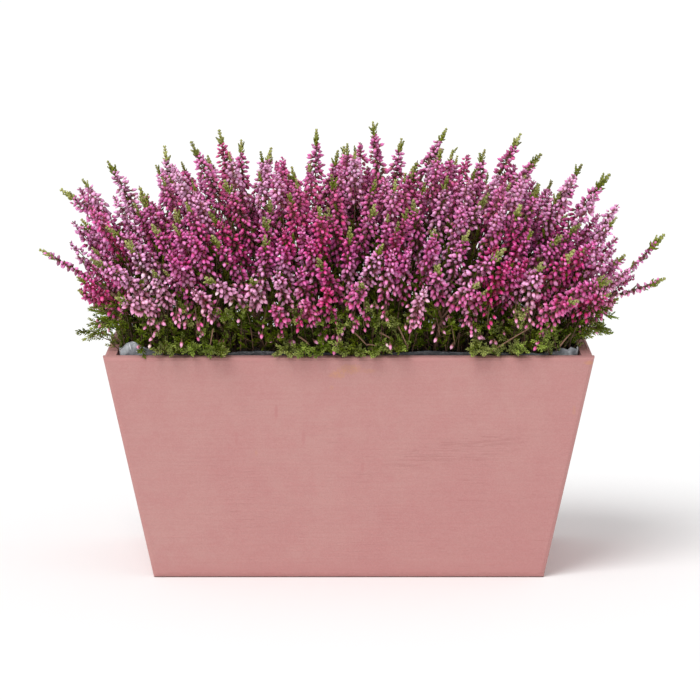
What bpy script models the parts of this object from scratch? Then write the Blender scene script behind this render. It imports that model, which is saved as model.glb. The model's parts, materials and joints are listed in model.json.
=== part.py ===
"""Potted heather: a tapered trough of dusty pink boards, lined with grey film and planted with heather.

Metres, +Z up. The origin is in the middle of the trough's underside, and its front faces -Y.
Each spray of heather is a woody stem with leafy side shoots, which carries a bloom of flower spikes.
"""

import math
import random
from collections import namedtuple

import bmesh
import bpy
import numpy as np
from mathutils import Matrix, Vector

# Trough
RIM_LENGTH = 0.400
FOOT_LENGTH = 0.320
HEIGHT = 0.183
DEPTH = 0.170
BOARD = 0.010
EDGE_ROUND = 0.003
GAP = 0.0003  # between pieces that touch

# Lining film
FILM = 0.0009
FILM_LIP = 0.003  # how far the film stands above the rim
FILM_CORNER = 0.006  # and how much more where it is bunched in a corner
FILM_CORNER_POWER = 6  # how sharply the bunch dies away from the corner
FILM_WAVES = ((0.0012, 9.0, 2.0), (0.0007, 17.0, -3.0))  # height, and radians along x and along y
FILM_STATIONS = (11, 5)  # along a long side and a short one

# Soil and the plain holes that the stems stand in
SOIL_DROP = 0.012  # from the rim to the soil at the film
SOIL_CROWN = 0.010  # how much higher the middle of a root ball is
ROOT_BALLS = (-0.120, 0.0, 0.120)
MOUND_RADIUS = 0.050
MOUND_EDGES = (6, 4)  # how steeply a mound ends at the film, along x and along y
SOIL_CUTS = (7, 3)
HOLE_DEPTH = 0.012
STEM_RADIUS = 0.0020

# The crest's spire tips from left to right: distance right of the middle, and height above the rim
CREST = (
    (-0.236, 0.129), (-0.201, 0.148), (-0.174, 0.131), (-0.154, 0.159), (-0.129, 0.168), (-0.108, 0.174),
    (-0.089, 0.169), (-0.065, 0.159), (-0.047, 0.149), (-0.027, 0.174), (-0.009, 0.160), (0.020, 0.184),
    (0.044, 0.168), (0.057, 0.152), (0.081, 0.174), (0.112, 0.163), (0.143, 0.171), (0.159, 0.157),
    (0.175, 0.129), (0.194, 0.145), (0.215, 0.139), (0.219, 0.098),
)
CREST_SPRAYS = (4, 4, 3, 4, 3, 4)  # how many of those tips each crest spray carries
CREST_DEPTHS = (-0.022, 0.020, -0.004, 0.028)  # of a spray's tips, in turn

# Rows of sprays on either side of the crest, from front to back
Row = namedtuple("Row", "sprays spikes root_y tip_y root_reach tip_reach share length")
ROWS = (
    Row(5, 4, -0.052, -0.098, 0.140, 0.186, 0.86, 0.066),
    Row(5, 4, -0.026, -0.052, 0.125, 0.165, 0.92, 0.082),
    Row(4, 4, 0.028, 0.054, 0.105, 0.150, 0.84, 0.082),
    Row(4, 4, 0.052, 0.098, 0.130, 0.175, 0.84, 0.068),
)
CREST_ROOT_Y, CREST_ROOT_REACH, CREST_LENGTH = 0.002, 0.145, 0.090
CREST_BLEND = 0.035  # how far along the crest its mean height is taken
DOME_FALL, DOME_HALF_DEPTH, DOME_POWER = 0.5, 0.115, 1.6
TIP_RING = 0.022  # radius of the ring that a spray's tips stand on
TIP_RING_RANGE = (0.85, 1.2)
TIP_RING_STRETCH = 1.25  # along x
TIP_TURN = 0.15  # how far a tip may stand from its place on the ring, as a share of the step
TIP_HEIGHTS = (0.90, 1.04)
ROW_SHIFT = 0.006
STEM_LEAN, STEM_BEND = 0.16, 0.55  # where a stem turns, as shares of its way across and of its way up
SPIKE_FOLLOW, SPIKE_SPREAD = 0.40, 0.55  # how far a spike follows the stem, and how early it spreads

# Sprays that reach out past the ends: root, fork and tips, as x, y and height above the rim
SIDE_SPRAYS = (
    ((-0.158, -0.030), (-0.196, -0.036, 0.046), ((-0.255, -0.030, 0.081),)),
    ((0.156, -0.030), (0.206, -0.036, 0.042), ((0.257, -0.046, 0.094), (0.262, -0.022, 0.056))),
)

# A flower spike: its buds stand round a slim core and droop
SIDES = 6
SPIKE_RADIUS = 0.0094
SPIKE_CORE = 0.0032
BUD_PITCH = 0.0092
BUD_DROOP = 0.0022

# Leafy side shoots, which stand out of the stem and rise
SHOOT_RINGS = 8
SHOOT_CORE = 0.0026
SHOOT_REACH = 0.026
SHOOT_RISE = 0.018
SHOOT_RANGE = (0.8, 1.1)
SHOOT_DRAW_IN = 0.85  # a shoot with no room is shortened by this share at a time
SHOOT_LEAST = 0.35  # and left out below this one
SHOOT_TESTS = (0.6, 0.8, 1.0)  # where along a shoot its room is tested

COLLAR_RADIUS = 0.0024
COLLAR_LENGTH = 0.005
CLEAR = 0.0012  # kept between neighbouring sprays
LEAFY = 0.005  # the room that a spike leaves round a neighbour's stem
TRIES, TRY_STEP, TRY_STRETCH, TRY_DROP = 40, 0.0005, 1.6, 0.3  # for a spike's tip that has to move aside

SEED = 27

# How far out a spike's buds and a stem's shoots stand, as (distance along, share of the full reach)
SPIKE_OUTLINE = (
    (0.0, 0.14), (0.11, 0.14), (0.22, 0.45), (0.36, 0.84), (0.5, 1.0), (0.72, 0.95), (0.84, 0.72),
    (0.90, 0.36), (0.97, 0.26), (1.0, 0.05),
)
SHOOT_OUTLINE = ((0.0, 0.5), (0.3, 0.95), (0.7, 1.0), (1.0, 0.6))

Path = namedtuple("Path", "start bend end")
Spray = namedtuple("Spray", "name root stem spikes shoots tone")


def clear_scene():
    for old in list(bpy.data.objects):
        bpy.data.objects.remove(old, do_unlink=True)


def surface_material(name, colour, roughness, metallic=0.0):
    """A Principled material of one colour."""
    material = bpy.data.materials.new(name)
    material.use_nodes = True
    shader = material.node_tree.nodes["Principled BSDF"]
    shader.inputs["Base Color"].default_value = (*colour, 1.0)
    shader.inputs["Roughness"].default_value = roughness
    shader.inputs["Metallic"].default_value = metallic
    material.diffuse_color = (*colour, 1.0)
    return material


def add_object(name, shape, material):
    """Puts a finished bmesh into the scene as a named object."""
    mesh = bpy.data.meshes.new(name)
    shape.to_mesh(mesh)
    shape.free()
    mesh.materials.append(material)
    placed = bpy.data.objects.new(name, mesh)
    bpy.context.scene.collection.objects.link(placed)
    return placed


def mix(low, high, share):
    return low + (high - low) * share


def outline_at(outline, share):
    """Reads a list of (place, value) points, with straight runs between them."""
    for (a, low), (b, high) in zip(outline, outline[1:]):
        if share <= b:
            return mix(low, high, (share - a) / (b - a))
    return outline[-1][1]


# The trough


def half_length(z):
    """Half the trough's outer length at height z."""
    return mix(FOOT_LENGTH, RIM_LENGTH, z / HEIGHT) / 2


def end_thickness():
    """An end board's thickness measured level, since it slants."""
    return BOARD * math.hypot(1.0, (RIM_LENGTH - FOOT_LENGTH) / 2 / HEIGHT)


def inner_half_length(z):
    """Half the length between the end boards at height z."""
    return half_length(z) - end_thickness()


def block(corner):
    """A six-sided block: corner(i, j, k) gives each corner's place, with -1 or 1 for low or high."""
    shape = bmesh.new()
    bmesh.ops.create_cube(shape, size=2.0)
    for vert in shape.verts:
        vert.co = Vector(corner(*(round(value) for value in vert.co)))
    bmesh.ops.recalc_face_normals(shape, faces=shape.faces)
    return shape


def round_edges(shape, radius, chosen):
    """Rounds the edges whose middle passes the test."""
    edges = [edge for edge in shape.edges if chosen((edge.verts[0].co + edge.verts[1].co) / 2)]
    bmesh.ops.bevel(shape, geom=edges, offset=radius, segments=2, affect="EDGES", profile=0.5, material=-1)


def make_face_board(name, side, paint):
    """The front board (side -1) or the back board (side 1), which cover the ends of the end boards."""

    def corner(i, j, k):
        z = HEIGHT if k > 0 else 0.0
        return i * half_length(z), side * (DEPTH / 2 - (0.0 if j == side else BOARD)), z

    shape = block(corner)
    outer = DEPTH / 2 - BOARD / 4
    round_edges(shape, EDGE_ROUND, lambda middle: abs(middle.y) > outer)
    return add_object(name, shape, paint)


def make_end_board(name, side, paint):
    """A slanting end board, fitted between the front and back boards."""

    def corner(i, j, k):
        z = HEIGHT if k > 0 else 0.0
        reach = half_length(z) if i == side else inner_half_length(z)
        return side * reach, j * (DEPTH / 2 - BOARD - GAP), z

    def on_outer_long_edge(middle):
        return abs(abs(middle.x) - half_length(middle.z)) < GAP and abs(middle.y) < GAP

    shape = block(corner)
    round_edges(shape, EDGE_ROUND, on_outer_long_edge)
    return add_object(name, shape, paint)


def make_bottom_board(paint):
    def corner(i, j, k):
        z = BOARD if k > 0 else 0.0
        return i * (inner_half_length(z) - GAP), j * (DEPTH / 2 - BOARD - GAP), z

    return add_object("bottom_board", block(corner), paint)


# The lining film


def film_half_size(z):
    """Half the film's outer length and width at height z."""
    return inner_half_length(min(z, HEIGHT)) - GAP, DEPTH / 2 - BOARD - GAP


def film_lip(share_x, share_y):
    """Height of the film's edge above the rim: a low wave, with a bunch in each corner."""
    corner = abs(share_x * share_y) ** FILM_CORNER_POWER
    wave = sum(height * math.sin(turn_x * share_x + turn_y * share_y) for height, turn_x, turn_y in FILM_WAVES)
    return FILM_LIP + FILM_CORNER * corner + wave


def raise_rings(shape, edges, count):
    """Extrudes a loop of edges upward one unit at a time, and returns the last loop."""
    for _ in range(count):
        grown = bmesh.ops.extrude_edge_only(shape, edges=edges)["geom"]
        raised = {item for item in grown if isinstance(item, bmesh.types.BMVert)}
        edges = [item for item in grown
                 if isinstance(item, bmesh.types.BMEdge) and raised.issuperset(item.verts)]
        bmesh.ops.translate(shape, verts=list(raised), vec=(0.0, 0.0, 1.0))
    return edges


def make_liner(film):
    """An open tray of film, walls and floor in one skin, which gets its thickness inward."""
    shape = bmesh.new()
    stations_x, stations_y = FILM_STATIONS
    bmesh.ops.create_grid(shape, x_segments=stations_x, y_segments=stations_y, size=1.0)
    bmesh.ops.dissolve_verts(shape, verts=[vert for vert in shape.verts if not vert.is_boundary])
    heights = (BOARD + GAP, HEIGHT / 2, HEIGHT, HEIGHT)
    raise_rings(shape, list(shape.edges), len(heights) - 1)
    for vert in shape.verts:
        share_x, share_y, level = vert.co
        height = heights[round(level)]
        lip = film_lip(share_x, share_y) if round(level) == len(heights) - 1 else 0.0
        half_x, half_y = film_half_size(height)
        vert.co = (share_x * half_x, share_y * half_y, height + lip)
    bmesh.ops.recalc_face_normals(shape, faces=shape.faces)
    floor = min(shape.faces, key=lambda face: face.calc_center_median().z)
    if floor.normal.z > 0.0:
        bmesh.ops.reverse_faces(shape, faces=shape.faces)
    liner = add_object("liner", shape, film)
    wall = liner.modifiers.new("film thickness", "SOLIDIFY")
    wall.thickness = FILM
    wall.offset = -1.0
    wall.use_even_offset = True
    return liner


# The soil


def soil_height(x, y):
    """Height of the soil: a low mound over each root ball, lower by the film."""
    half_x, half_y = soil_half_size(HEIGHT)
    power_x, power_y = MOUND_EDGES
    mound = max(math.exp(-(((x - ball) / MOUND_RADIUS) ** 2)) for ball in ROOT_BALLS)
    margin = (1.0 - (x / half_x) ** power_x) * (1.0 - (y / half_y) ** power_y)
    return HEIGHT - SOIL_DROP + SOIL_CROWN * mound * max(margin, 0.0)


def soil_half_size(z):
    half_x, half_y = film_half_size(z)
    return half_x - FILM * end_thickness() / BOARD - GAP, half_y - FILM - GAP


def make_soil(soil_look, roots):
    """The soil body with a plain blind hole for each stem."""
    shape = bmesh.new()
    bmesh.ops.create_cube(shape, size=2.0)
    cuts_x, cuts_y = SOIL_CUTS
    long_edges = [edge for edge in shape.edges if edge.verts[0].co.x * edge.verts[1].co.x < 0.0]
    bmesh.ops.subdivide_edges(shape, edges=long_edges, cuts=cuts_x, use_grid_fill=True)
    short_edges = [edge for edge in shape.edges
                   if edge.verts[0].co.y * edge.verts[1].co.y < 0.0 and edge.verts[0].co.z > 0.0]
    bmesh.ops.subdivide_edges(shape, edges=short_edges, cuts=cuts_y, use_grid_fill=True)
    floor_z = BOARD + FILM + 2 * GAP
    for vert in shape.verts:
        share_x, share_y, top = vert.co
        z = HEIGHT - SOIL_DROP if top > 0 else floor_z
        half_x, half_y = soil_half_size(z)
        x, y = share_x * half_x, share_y * half_y
        vert.co = (x, y, soil_height(x, y) if top > 0 else z)
    bmesh.ops.triangulate(shape, faces=shape.faces)
    soil = add_object("soil", shape, soil_look)
    holes = [make_hole(index, x, y) for index, (x, y) in enumerate(roots)]
    join(soil, holes, "DIFFERENCE")
    return soil


def make_hole(index, x, y):
    """A cutter for one stem's hole."""
    top = HEIGHT + SOIL_CROWN
    floor_z = soil_height(x, y) - HOLE_DEPTH
    shape = bmesh.new()
    radius = (STEM_RADIUS + GAP) / math.cos(math.pi / SIDES)
    depth = top - floor_z
    bmesh.ops.create_cone(shape, cap_ends=True, segments=SIDES, radius1=radius, radius2=radius, depth=depth)
    bmesh.ops.translate(shape, verts=shape.verts, vec=(x, y, (top + floor_z) / 2))
    return add_object(f"hole_{index:02d}", shape, None)


def join(base, pieces, operation):
    """Applies one Boolean of a collection of pieces to the base, and removes the pieces."""
    group = bpy.data.collections.new(base.name + " pieces")
    bpy.context.scene.collection.children.link(group)
    for piece in pieces:
        bpy.context.scene.collection.objects.unlink(piece)
        group.objects.link(piece)
    boolean = base.modifiers.new("join", "BOOLEAN")
    boolean.operation = operation
    boolean.solver = "EXACT"
    boolean.operand_type = "COLLECTION"
    boolean.collection = group
    evaluated = base.evaluated_get(bpy.context.evaluated_depsgraph_get())
    result = bpy.data.meshes.new_from_object(evaluated)
    base.modifiers.clear()
    base.data = result
    for piece in pieces:
        bpy.data.objects.remove(piece, do_unlink=True)
    bpy.data.collections.remove(group)


# Where the sprays stand, and how they keep clear of each other


def at(path, share):
    """A place on a path, which is a curve with one bend."""
    back = 1.0 - share
    return path.start * back * back + path.bend * 2 * back * share + path.end * share * share


def along(path, share):
    """The path's direction at that place."""
    way = (path.bend - path.start) * (1.0 - share) + (path.end - path.bend) * share
    return way.normalized()


def part_of(path, share):
    """The first part of a path, up to a share of it."""
    return Path(path.start, path.start.lerp(path.bend, share), at(path, share))


def path_length(path):
    places = [at(path, step / 8) for step in range(9)]
    return sum((b - a).length for a, b in zip(places, places[1:]))


class Room:
    """The balls of space that paths hold, each with the number of its spray."""

    STEPS = 20

    def __init__(self):
        self.places = np.zeros((0, 3))
        self.radii = np.zeros(0)
        self.owners = np.zeros(0, dtype=int)

    def balls(self, path, radius_at):
        shares = [(step + 0.5) / self.STEPS for step in range(self.STEPS)]
        places = np.array([at(path, share) for share in shares])
        return places, np.array([radius_at(share) for share in shares])

    def hold(self, path, radius_at, owner):
        places, radii = self.balls(path, radius_at)
        self.places = np.vstack((self.places, places))
        self.radii = np.concatenate((self.radii, radii))
        self.owners = np.concatenate((self.owners, np.full(len(radii), owner)))

    def spare(self, path, radius_at, owner):
        """The least distance from a path's skin to what the other sprays hold."""
        others = self.owners != owner
        if not others.any():
            return 1.0
        places, radii = self.balls(path, radius_at)
        apart = np.linalg.norm(places[:, None, :] - self.places[None, others, :], axis=2)
        return float((apart - radii[:, None] - self.radii[None, others]).min())

    def apart(self, place):
        """The distance from a place to every ball's skin."""
        return np.linalg.norm(self.places - np.array(place), axis=1) - self.radii


def spike_radius(share):
    return SPIKE_RADIUS * outline_at(SPIKE_OUTLINE, share)


def crest_height(x):
    """The crest's mean height above the rim, a little under its tips."""
    places = [place for place, _ in CREST]
    heights = [height for _, height in CREST]
    near = np.exp(-(((np.array(places) - x) / CREST_BLEND) ** 2))
    return float((near * np.array(heights)).sum() / near.sum())


def dome_height(x, y):
    """Height above the rim of a tip that stands at x, y."""
    return crest_height(x) * (1.0 - DOME_FALL * (abs(y) / DOME_HALF_DEPTH) ** DOME_POWER)


def stem_curve(root, tip):
    """A spray's middle line: straight up out of the soil, then over to its tips."""
    x, y = root
    start = Vector((x, y, soil_height(x, y) + STEM_RADIUS))
    bend = Vector((mix(x, tip.x, STEM_LEAN), mix(y, tip.y, STEM_LEAN), mix(start.z, tip.z, STEM_BEND)))
    return Path(start, bend, tip)


def spike_curve(fork, way, tip, middle):
    """A spike leaves the fork along the stem's way, spreads, and rises to its tip."""
    reach = (tip - fork).length
    return Path(fork, fork + way * reach * SPIKE_FOLLOW + (tip - middle) * SPIKE_SPREAD, tip)


def crest_tips():
    """The crest's tips, in groups for its sprays."""
    groups = []
    first = 0
    for count in CREST_SPRAYS:
        chosen = CREST[first:first + count]
        depths = CREST_DEPTHS[:count]
        groups.append([Vector((x, y, HEIGHT + up)) for (x, up), y in zip(chosen, depths)])
        first += count
    return groups


def across_at(spray, count):
    """Where a spray stands in its row, from -1 at the left end to 1 at the right."""
    return 2.0 * spray / (count - 1) - 1.0


def row_tips(row, spray, draw):
    """A ring of tips round a spray's middle, one for each spike."""
    middle_x = across_at(spray, row.sprays) * row.tip_reach + draw.uniform(-ROW_SHIFT, ROW_SHIFT)
    turn = draw.uniform(0.0, 2.0 * math.pi)
    tips = []
    for spike in range(row.spikes):
        angle = turn + 2.0 * math.pi * (spike + draw.uniform(-TIP_TURN, TIP_TURN)) / row.spikes
        reach = TIP_RING * draw.uniform(*TIP_RING_RANGE)
        x = middle_x + TIP_RING_STRETCH * reach * math.cos(angle)
        y = row.tip_y + reach * math.sin(angle)
        up = dome_height(x, y) * row.share * draw.uniform(*TIP_HEIGHTS)
        tips.append(Vector((x, y, HEIGHT + up)))
    return tips


def settle_tip(rooms, owner, fork, way, tip, middle, draw):
    """Moves a tip a little until its spike is clear of the other sprays, and returns the spike's path."""
    best = None
    most = -1.0
    for attempt in range(TRIES):
        shift = TRY_STEP * attempt
        aside = draw.uniform(-shift, shift)
        back = TRY_STRETCH * draw.uniform(-shift, shift)
        path = spike_curve(fork, way, tip + Vector((aside, back, -TRY_DROP * shift)), middle)
        spare = min(room.spare(path, spike_radius, owner) for room in rooms)
        if spare > most:
            best, most = path, spare
        if spare > CLEAR:
            break
    return best


def shoot_has_room(stems, spikes, owner, place):
    """A shoot stays nearer its own stem than any other, off every spike, and inside the film or above it."""
    gaps = stems.apart(place)
    own = stems.owners == owner
    if gaps[~own].min() < gaps[own].min() + 2 * CLEAR or spikes.apart(place).min() < CLEAR:
        return False
    lip = HEIGHT + FILM_LIP + FILM_CORNER
    half_x, half_y = soil_half_size(min(place.z, HEIGHT))
    return place.z > lip or (abs(place.x) < half_x - CLEAR and abs(place.y) < half_y - CLEAR)


def grow_shoots(stems, spikes, owner, stem, draw):
    """How far each side shoot of a stem stands out, as a share of its full reach, by ring and corner."""
    shoots = {}
    spine = frames_along(stops(stem, SHOOT_RINGS))
    for ring in range(1, SHOOT_RINGS):
        for corner in range(SIDES):
            if (ring + corner) % 2:
                continue
            share = outline_at(SHOOT_OUTLINE, ring / SHOOT_RINGS) * draw.uniform(*SHOOT_RANGE)
            while share > SHOOT_LEAST:
                places = [shoot_spot(spine[ring], corner, share * part) for part in SHOOT_TESTS]
                if all(shoot_has_room(stems, spikes, owner, place) for place in places):
                    break
                share *= SHOOT_DRAW_IN
            if share > SHOOT_LEAST:
                shoots[ring, corner] = share
    return shoots


def lay_out_sprays():
    """Every spray's root, stem, spikes and shoots, the crest first and then the rows beside it."""
    draw = random.Random(SEED)
    plans = []
    for spray, tips in enumerate(crest_tips()):
        root = (across_at(spray, len(CREST_SPRAYS)) * CREST_ROOT_REACH, CREST_ROOT_Y)
        plans.append((root, tips, CREST_LENGTH, None))
    for row in ROWS:
        for spray in range(row.sprays):
            root = (across_at(spray, row.sprays) * row.root_reach, row.root_y)
            plans.append((root, row_tips(row, spray, draw), row.length, None))
    for root, fork, tips in SIDE_SPRAYS:
        places = [Vector((x, y, HEIGHT + up)) for x, y, up in tips]
        plans.append((root, places, None, Vector((fork[0], fork[1], HEIGHT + fork[2]))))

    stem_room = Room()
    stems = []
    for owner, (root, tips, length, fork) in enumerate(plans):
        middle = sum(tips, Vector()) / len(tips)
        stem = stem_curve(root, fork or middle)
        if fork is None:
            stem = part_of(stem, 1.0 - length / path_length(stem))
        stems.append((stem, middle))
        stem_room.hold(stem, lambda share: LEAFY, owner)

    spike_room = Room()
    bunches = []
    for owner, ((root, tips, _, _), (stem, middle)) in enumerate(zip(plans, stems)):
        way = along(stem, 1.0)
        fork = stem.end + way * (GAP + COLLAR_LENGTH / 2)
        rooms = (stem_room, spike_room)
        spikes = [settle_tip(rooms, owner, fork, way, tip, middle, draw) for tip in tips]
        for path in spikes:
            spike_room.hold(path, spike_radius, owner)
        bunches.append(spikes)

    sprays = []
    for owner, (plan, (stem, _), spikes) in enumerate(zip(plans, stems, bunches)):
        shoots = grow_shoots(stem_room, spike_room, owner, stem, draw)
        tone = draw.randrange(3)
        sprays.append(Spray(f"spray_{owner + 1:02d}", plan[0], stem, spikes, shoots, tone))
    return sprays


# Stems, shoots and spikes


def unit_tube(sides, rings):
    """A straight tube whose verts stand at a unit circle, with a whole number for each ring's height."""
    shape = bmesh.new()
    bmesh.ops.create_circle(shape, cap_ends=True, segments=sides, radius=1.0)
    bmesh.ops.contextual_create(shape, geom=raise_rings(shape, list(shape.edges), rings))
    return shape


def stops(path, rings):
    """Evenly spaced places on a path, each with the path's direction."""
    return [(at(path, ring / rings), along(path, ring / rings)) for ring in range(rings + 1)]


def frames_along(spine):
    """Gives each place of a spine two directions across it, which don't twist from one to the next."""
    side = spine[0][1].orthogonal().normalized()
    frames = []
    for place, way in spine:
        side = (side - way * side.dot(way)).normalized()
        frames.append((place, way, side, way.cross(side)))
    return frames


def spot(frame, corner, reach, rise):
    """A place beside a spine, out at one of its corners and shifted along it."""
    place, way, right, up = frame
    angle = 2.0 * math.pi * corner / SIDES
    return place + (right * math.cos(angle) + up * math.sin(angle)) * reach + way * rise


def shoot_spot(frame, corner, share):
    return spot(frame, corner, SHOOT_CORE + (SHOOT_REACH - SHOOT_CORE) * share, SHOOT_RISE * share)


def sweep(frames, corner_at):
    """A closed tube along the frames, whose verts stand where corner_at(ring, corner) says."""
    shape = unit_tube(SIDES, len(frames) - 1)
    for vert in shape.verts:
        ring = round(vert.co.z)
        corner = math.floor(math.atan2(vert.co.y, vert.co.x) / (2.0 * math.pi) * SIDES) % SIDES
        vert.co = corner_at(ring, corner)
    bmesh.ops.triangulate(shape, faces=shape.faces, quad_method="SHORT_EDGE", ngon_method="BEAUTY")
    bmesh.ops.recalc_face_normals(shape, faces=shape.faces)
    return shape


def set_origin(piece, place):
    """Moves a piece's origin to a place on it, and leaves the piece where it is."""
    piece.data.transform(Matrix.Translation(-place))
    piece.location = place


def make_spike(name, path):
    """A core set with buds: every second corner stands out, and each ring is turned from the one below, so
    that each raised corner is the drooping point of one bud."""
    rings = round(path_length(path) / BUD_PITCH)
    frames = frames_along(stops(path, rings))

    def corner_at(ring, corner):
        reach = spike_radius(ring / rings)
        if (ring + corner) % 2 or ring in (0, 1, rings):
            return spot(frames[ring], corner, min(reach, SPIKE_CORE), 0.0)
        return spot(frames[ring], corner, reach, -BUD_DROOP)

    return add_object(name, sweep(frames, corner_at), None)


def make_stem(spray, bark):
    """The woody stem, upright in its hole, with its side shoots raised from it as long slim points."""
    up = Vector((0.0, 0.0, 1.0))
    foot = spray.stem.start - up * (HOLE_DEPTH + STEM_RADIUS - GAP)
    frames = frames_along([(foot, up)] + stops(spray.stem, SHOOT_RINGS))

    def corner_at(ring, corner):
        share = spray.shoots.get((ring - 1, corner))
        if share is not None:
            return shoot_spot(frames[ring], corner, share)
        core = STEM_RADIUS if ring in (0, 1, SHOOT_RINGS + 1) else SHOOT_CORE
        return spot(frames[ring], corner, core, 0.0)

    stem = add_object(spray.name + "_stem", sweep(frames, corner_at), bark)
    set_origin(stem, foot)
    return stem


def make_bloom(spray, petals):
    """The flower spikes of one spray, fused in a collar that sits on the stem's top."""
    way = along(spray.stem, 1.0)
    foot = spray.stem.end + way * GAP
    frames = frames_along([(foot, way), (foot + way * COLLAR_LENGTH, way)])
    shape = sweep(frames, lambda ring, corner: spot(frames[ring], corner, COLLAR_RADIUS, 0.0))
    bloom = add_object(spray.name + "_bloom", shape, petals)
    spikes = [make_spike(f"{spray.name}_spike_{index}", path) for index, path in enumerate(spray.spikes)]
    join(bloom, spikes, "UNION")
    set_origin(bloom, foot)
    return bloom


def main():
    clear_scene()
    paint = surface_material("dusty pink paint", (0.58, 0.28, 0.26), 0.75)
    film = surface_material("grey film", (0.16, 0.17, 0.18), 0.35)
    soil_look = surface_material("dark soil", (0.035, 0.022, 0.015), 0.95)
    bark = surface_material("leafy green", (0.16, 0.22, 0.06), 0.7)
    petals = (
        surface_material("magenta buds", (0.50, 0.03, 0.24), 0.6),
        surface_material("mauve buds", (0.48, 0.13, 0.42), 0.6),
        surface_material("pale pink buds", (0.70, 0.36, 0.56), 0.6),
    )
    pieces = [
        make_face_board("front_panel", -1, paint),
        make_face_board("back_panel", 1, paint),
        make_end_board("left_end_panel", -1, paint),
        make_end_board("right_end_panel", 1, paint),
        make_bottom_board(paint),
        make_liner(film),
    ]
    sprays = lay_out_sprays()
    pieces.append(make_soil(soil_look, [spray.root for spray in sprays]))
    for spray in sprays:
        pieces.append(make_stem(spray, bark))
        pieces.append(make_bloom(spray, petals[spray.tone]))
    planter = bpy.data.objects.new("potted heather", None)
    bpy.context.scene.collection.objects.link(planter)
    for piece in pieces:
        piece.parent = planter


main()
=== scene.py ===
"""Potted heather in a tapered trough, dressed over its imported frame.

The boards are the frame's own, painted here. The film, the soil, and every spray's stem and bloom are
remade as finer pieces in the same places, worked out from the same numbers as in the part's source.
Metres, +Z up. The front faces -Y.
"""

import functools
import json
import math
import random
from collections import namedtuple

import bmesh
import bpy
import numpy as np
from bpy.props import FloatProperty, FloatVectorProperty, IntProperty, PointerProperty
from mathutils import Matrix, Vector, noise

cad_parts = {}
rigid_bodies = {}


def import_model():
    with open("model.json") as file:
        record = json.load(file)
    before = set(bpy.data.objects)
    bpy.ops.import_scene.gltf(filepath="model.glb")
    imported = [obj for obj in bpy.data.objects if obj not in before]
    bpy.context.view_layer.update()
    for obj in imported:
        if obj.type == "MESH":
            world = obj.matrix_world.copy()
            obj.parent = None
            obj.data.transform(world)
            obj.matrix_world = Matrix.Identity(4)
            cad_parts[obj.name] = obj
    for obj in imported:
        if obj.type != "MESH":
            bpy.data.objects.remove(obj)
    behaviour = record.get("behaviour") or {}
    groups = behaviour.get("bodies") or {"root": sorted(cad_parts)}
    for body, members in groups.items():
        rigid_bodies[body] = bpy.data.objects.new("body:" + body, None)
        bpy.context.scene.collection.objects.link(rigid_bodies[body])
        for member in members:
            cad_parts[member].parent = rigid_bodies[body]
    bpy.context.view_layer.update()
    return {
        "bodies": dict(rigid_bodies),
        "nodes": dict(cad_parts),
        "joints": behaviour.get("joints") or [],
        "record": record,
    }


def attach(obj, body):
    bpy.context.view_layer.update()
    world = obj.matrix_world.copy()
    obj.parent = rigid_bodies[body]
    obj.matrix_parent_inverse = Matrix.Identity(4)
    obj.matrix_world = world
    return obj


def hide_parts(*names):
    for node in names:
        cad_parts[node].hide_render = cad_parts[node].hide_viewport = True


bl_info = {
    "name": "Potted Heather",
    "version": (1, 0, 0),
    "blender": (4, 5, 0),
    "location": "3D View > Sidebar > Heather",
    "description": "Dresses the trough and its heather with paint, film, soil, leafy shoots and flower buds",
    "category": "Object",
}

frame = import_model()

# The trough and its filling, as in the part's source

RIM_LENGTH = 0.4
FOOT_LENGTH = 0.32
HEIGHT = 0.183
DEPTH = 0.17
BOARD = 0.01
GAP = 0.0003  # between pieces that touch

FILM = 0.0009
FILM_LIP = 0.003  # how far the film stands above the rim
FILM_CORNER = 0.006  # and how much more where it is bunched in a corner
FILM_CORNER_POWER = 6  # how sharply the bunch dies away from the corner
FILM_WAVES = ((0.0012, 9.0, 2.0), (0.0007, 17.0, -3.0))  # height, and radians along x and along y

SOIL_DROP = 0.012  # from the rim to the soil at the film
SOIL_CROWN = 0.01  # how much higher the middle of a root ball is
ROOT_BALLS = (-0.12, 0.0, 0.12)
MOUND_RADIUS = 0.05
MOUND_EDGES = (6, 4)  # how steeply a mound ends at the film, along x and along y
HOLE_DEPTH = 0.012
STEM_RADIUS = 0.002

# The heather's sprays, as in the part's source

CREST = (  # the crest's tips from left to right: distance right of the middle, and height above the rim
    (-0.236, 0.129), (-0.201, 0.148), (-0.174, 0.131), (-0.154, 0.159), (-0.129, 0.168), (-0.108, 0.174),
    (-0.089, 0.169), (-0.065, 0.159), (-0.047, 0.149), (-0.027, 0.174), (-0.009, 0.16), (0.02, 0.184),
    (0.044, 0.168), (0.057, 0.152), (0.081, 0.174), (0.112, 0.163), (0.143, 0.171), (0.159, 0.157),
    (0.175, 0.129), (0.194, 0.145), (0.215, 0.139), (0.219, 0.098),
)
CREST_SPRAYS = (4, 4, 3, 4, 3, 4)  # how many of those tips each crest spray carries
CREST_DEPTHS = (-0.022, 0.02, -0.004, 0.028)  # of a spray's tips, in turn

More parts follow.
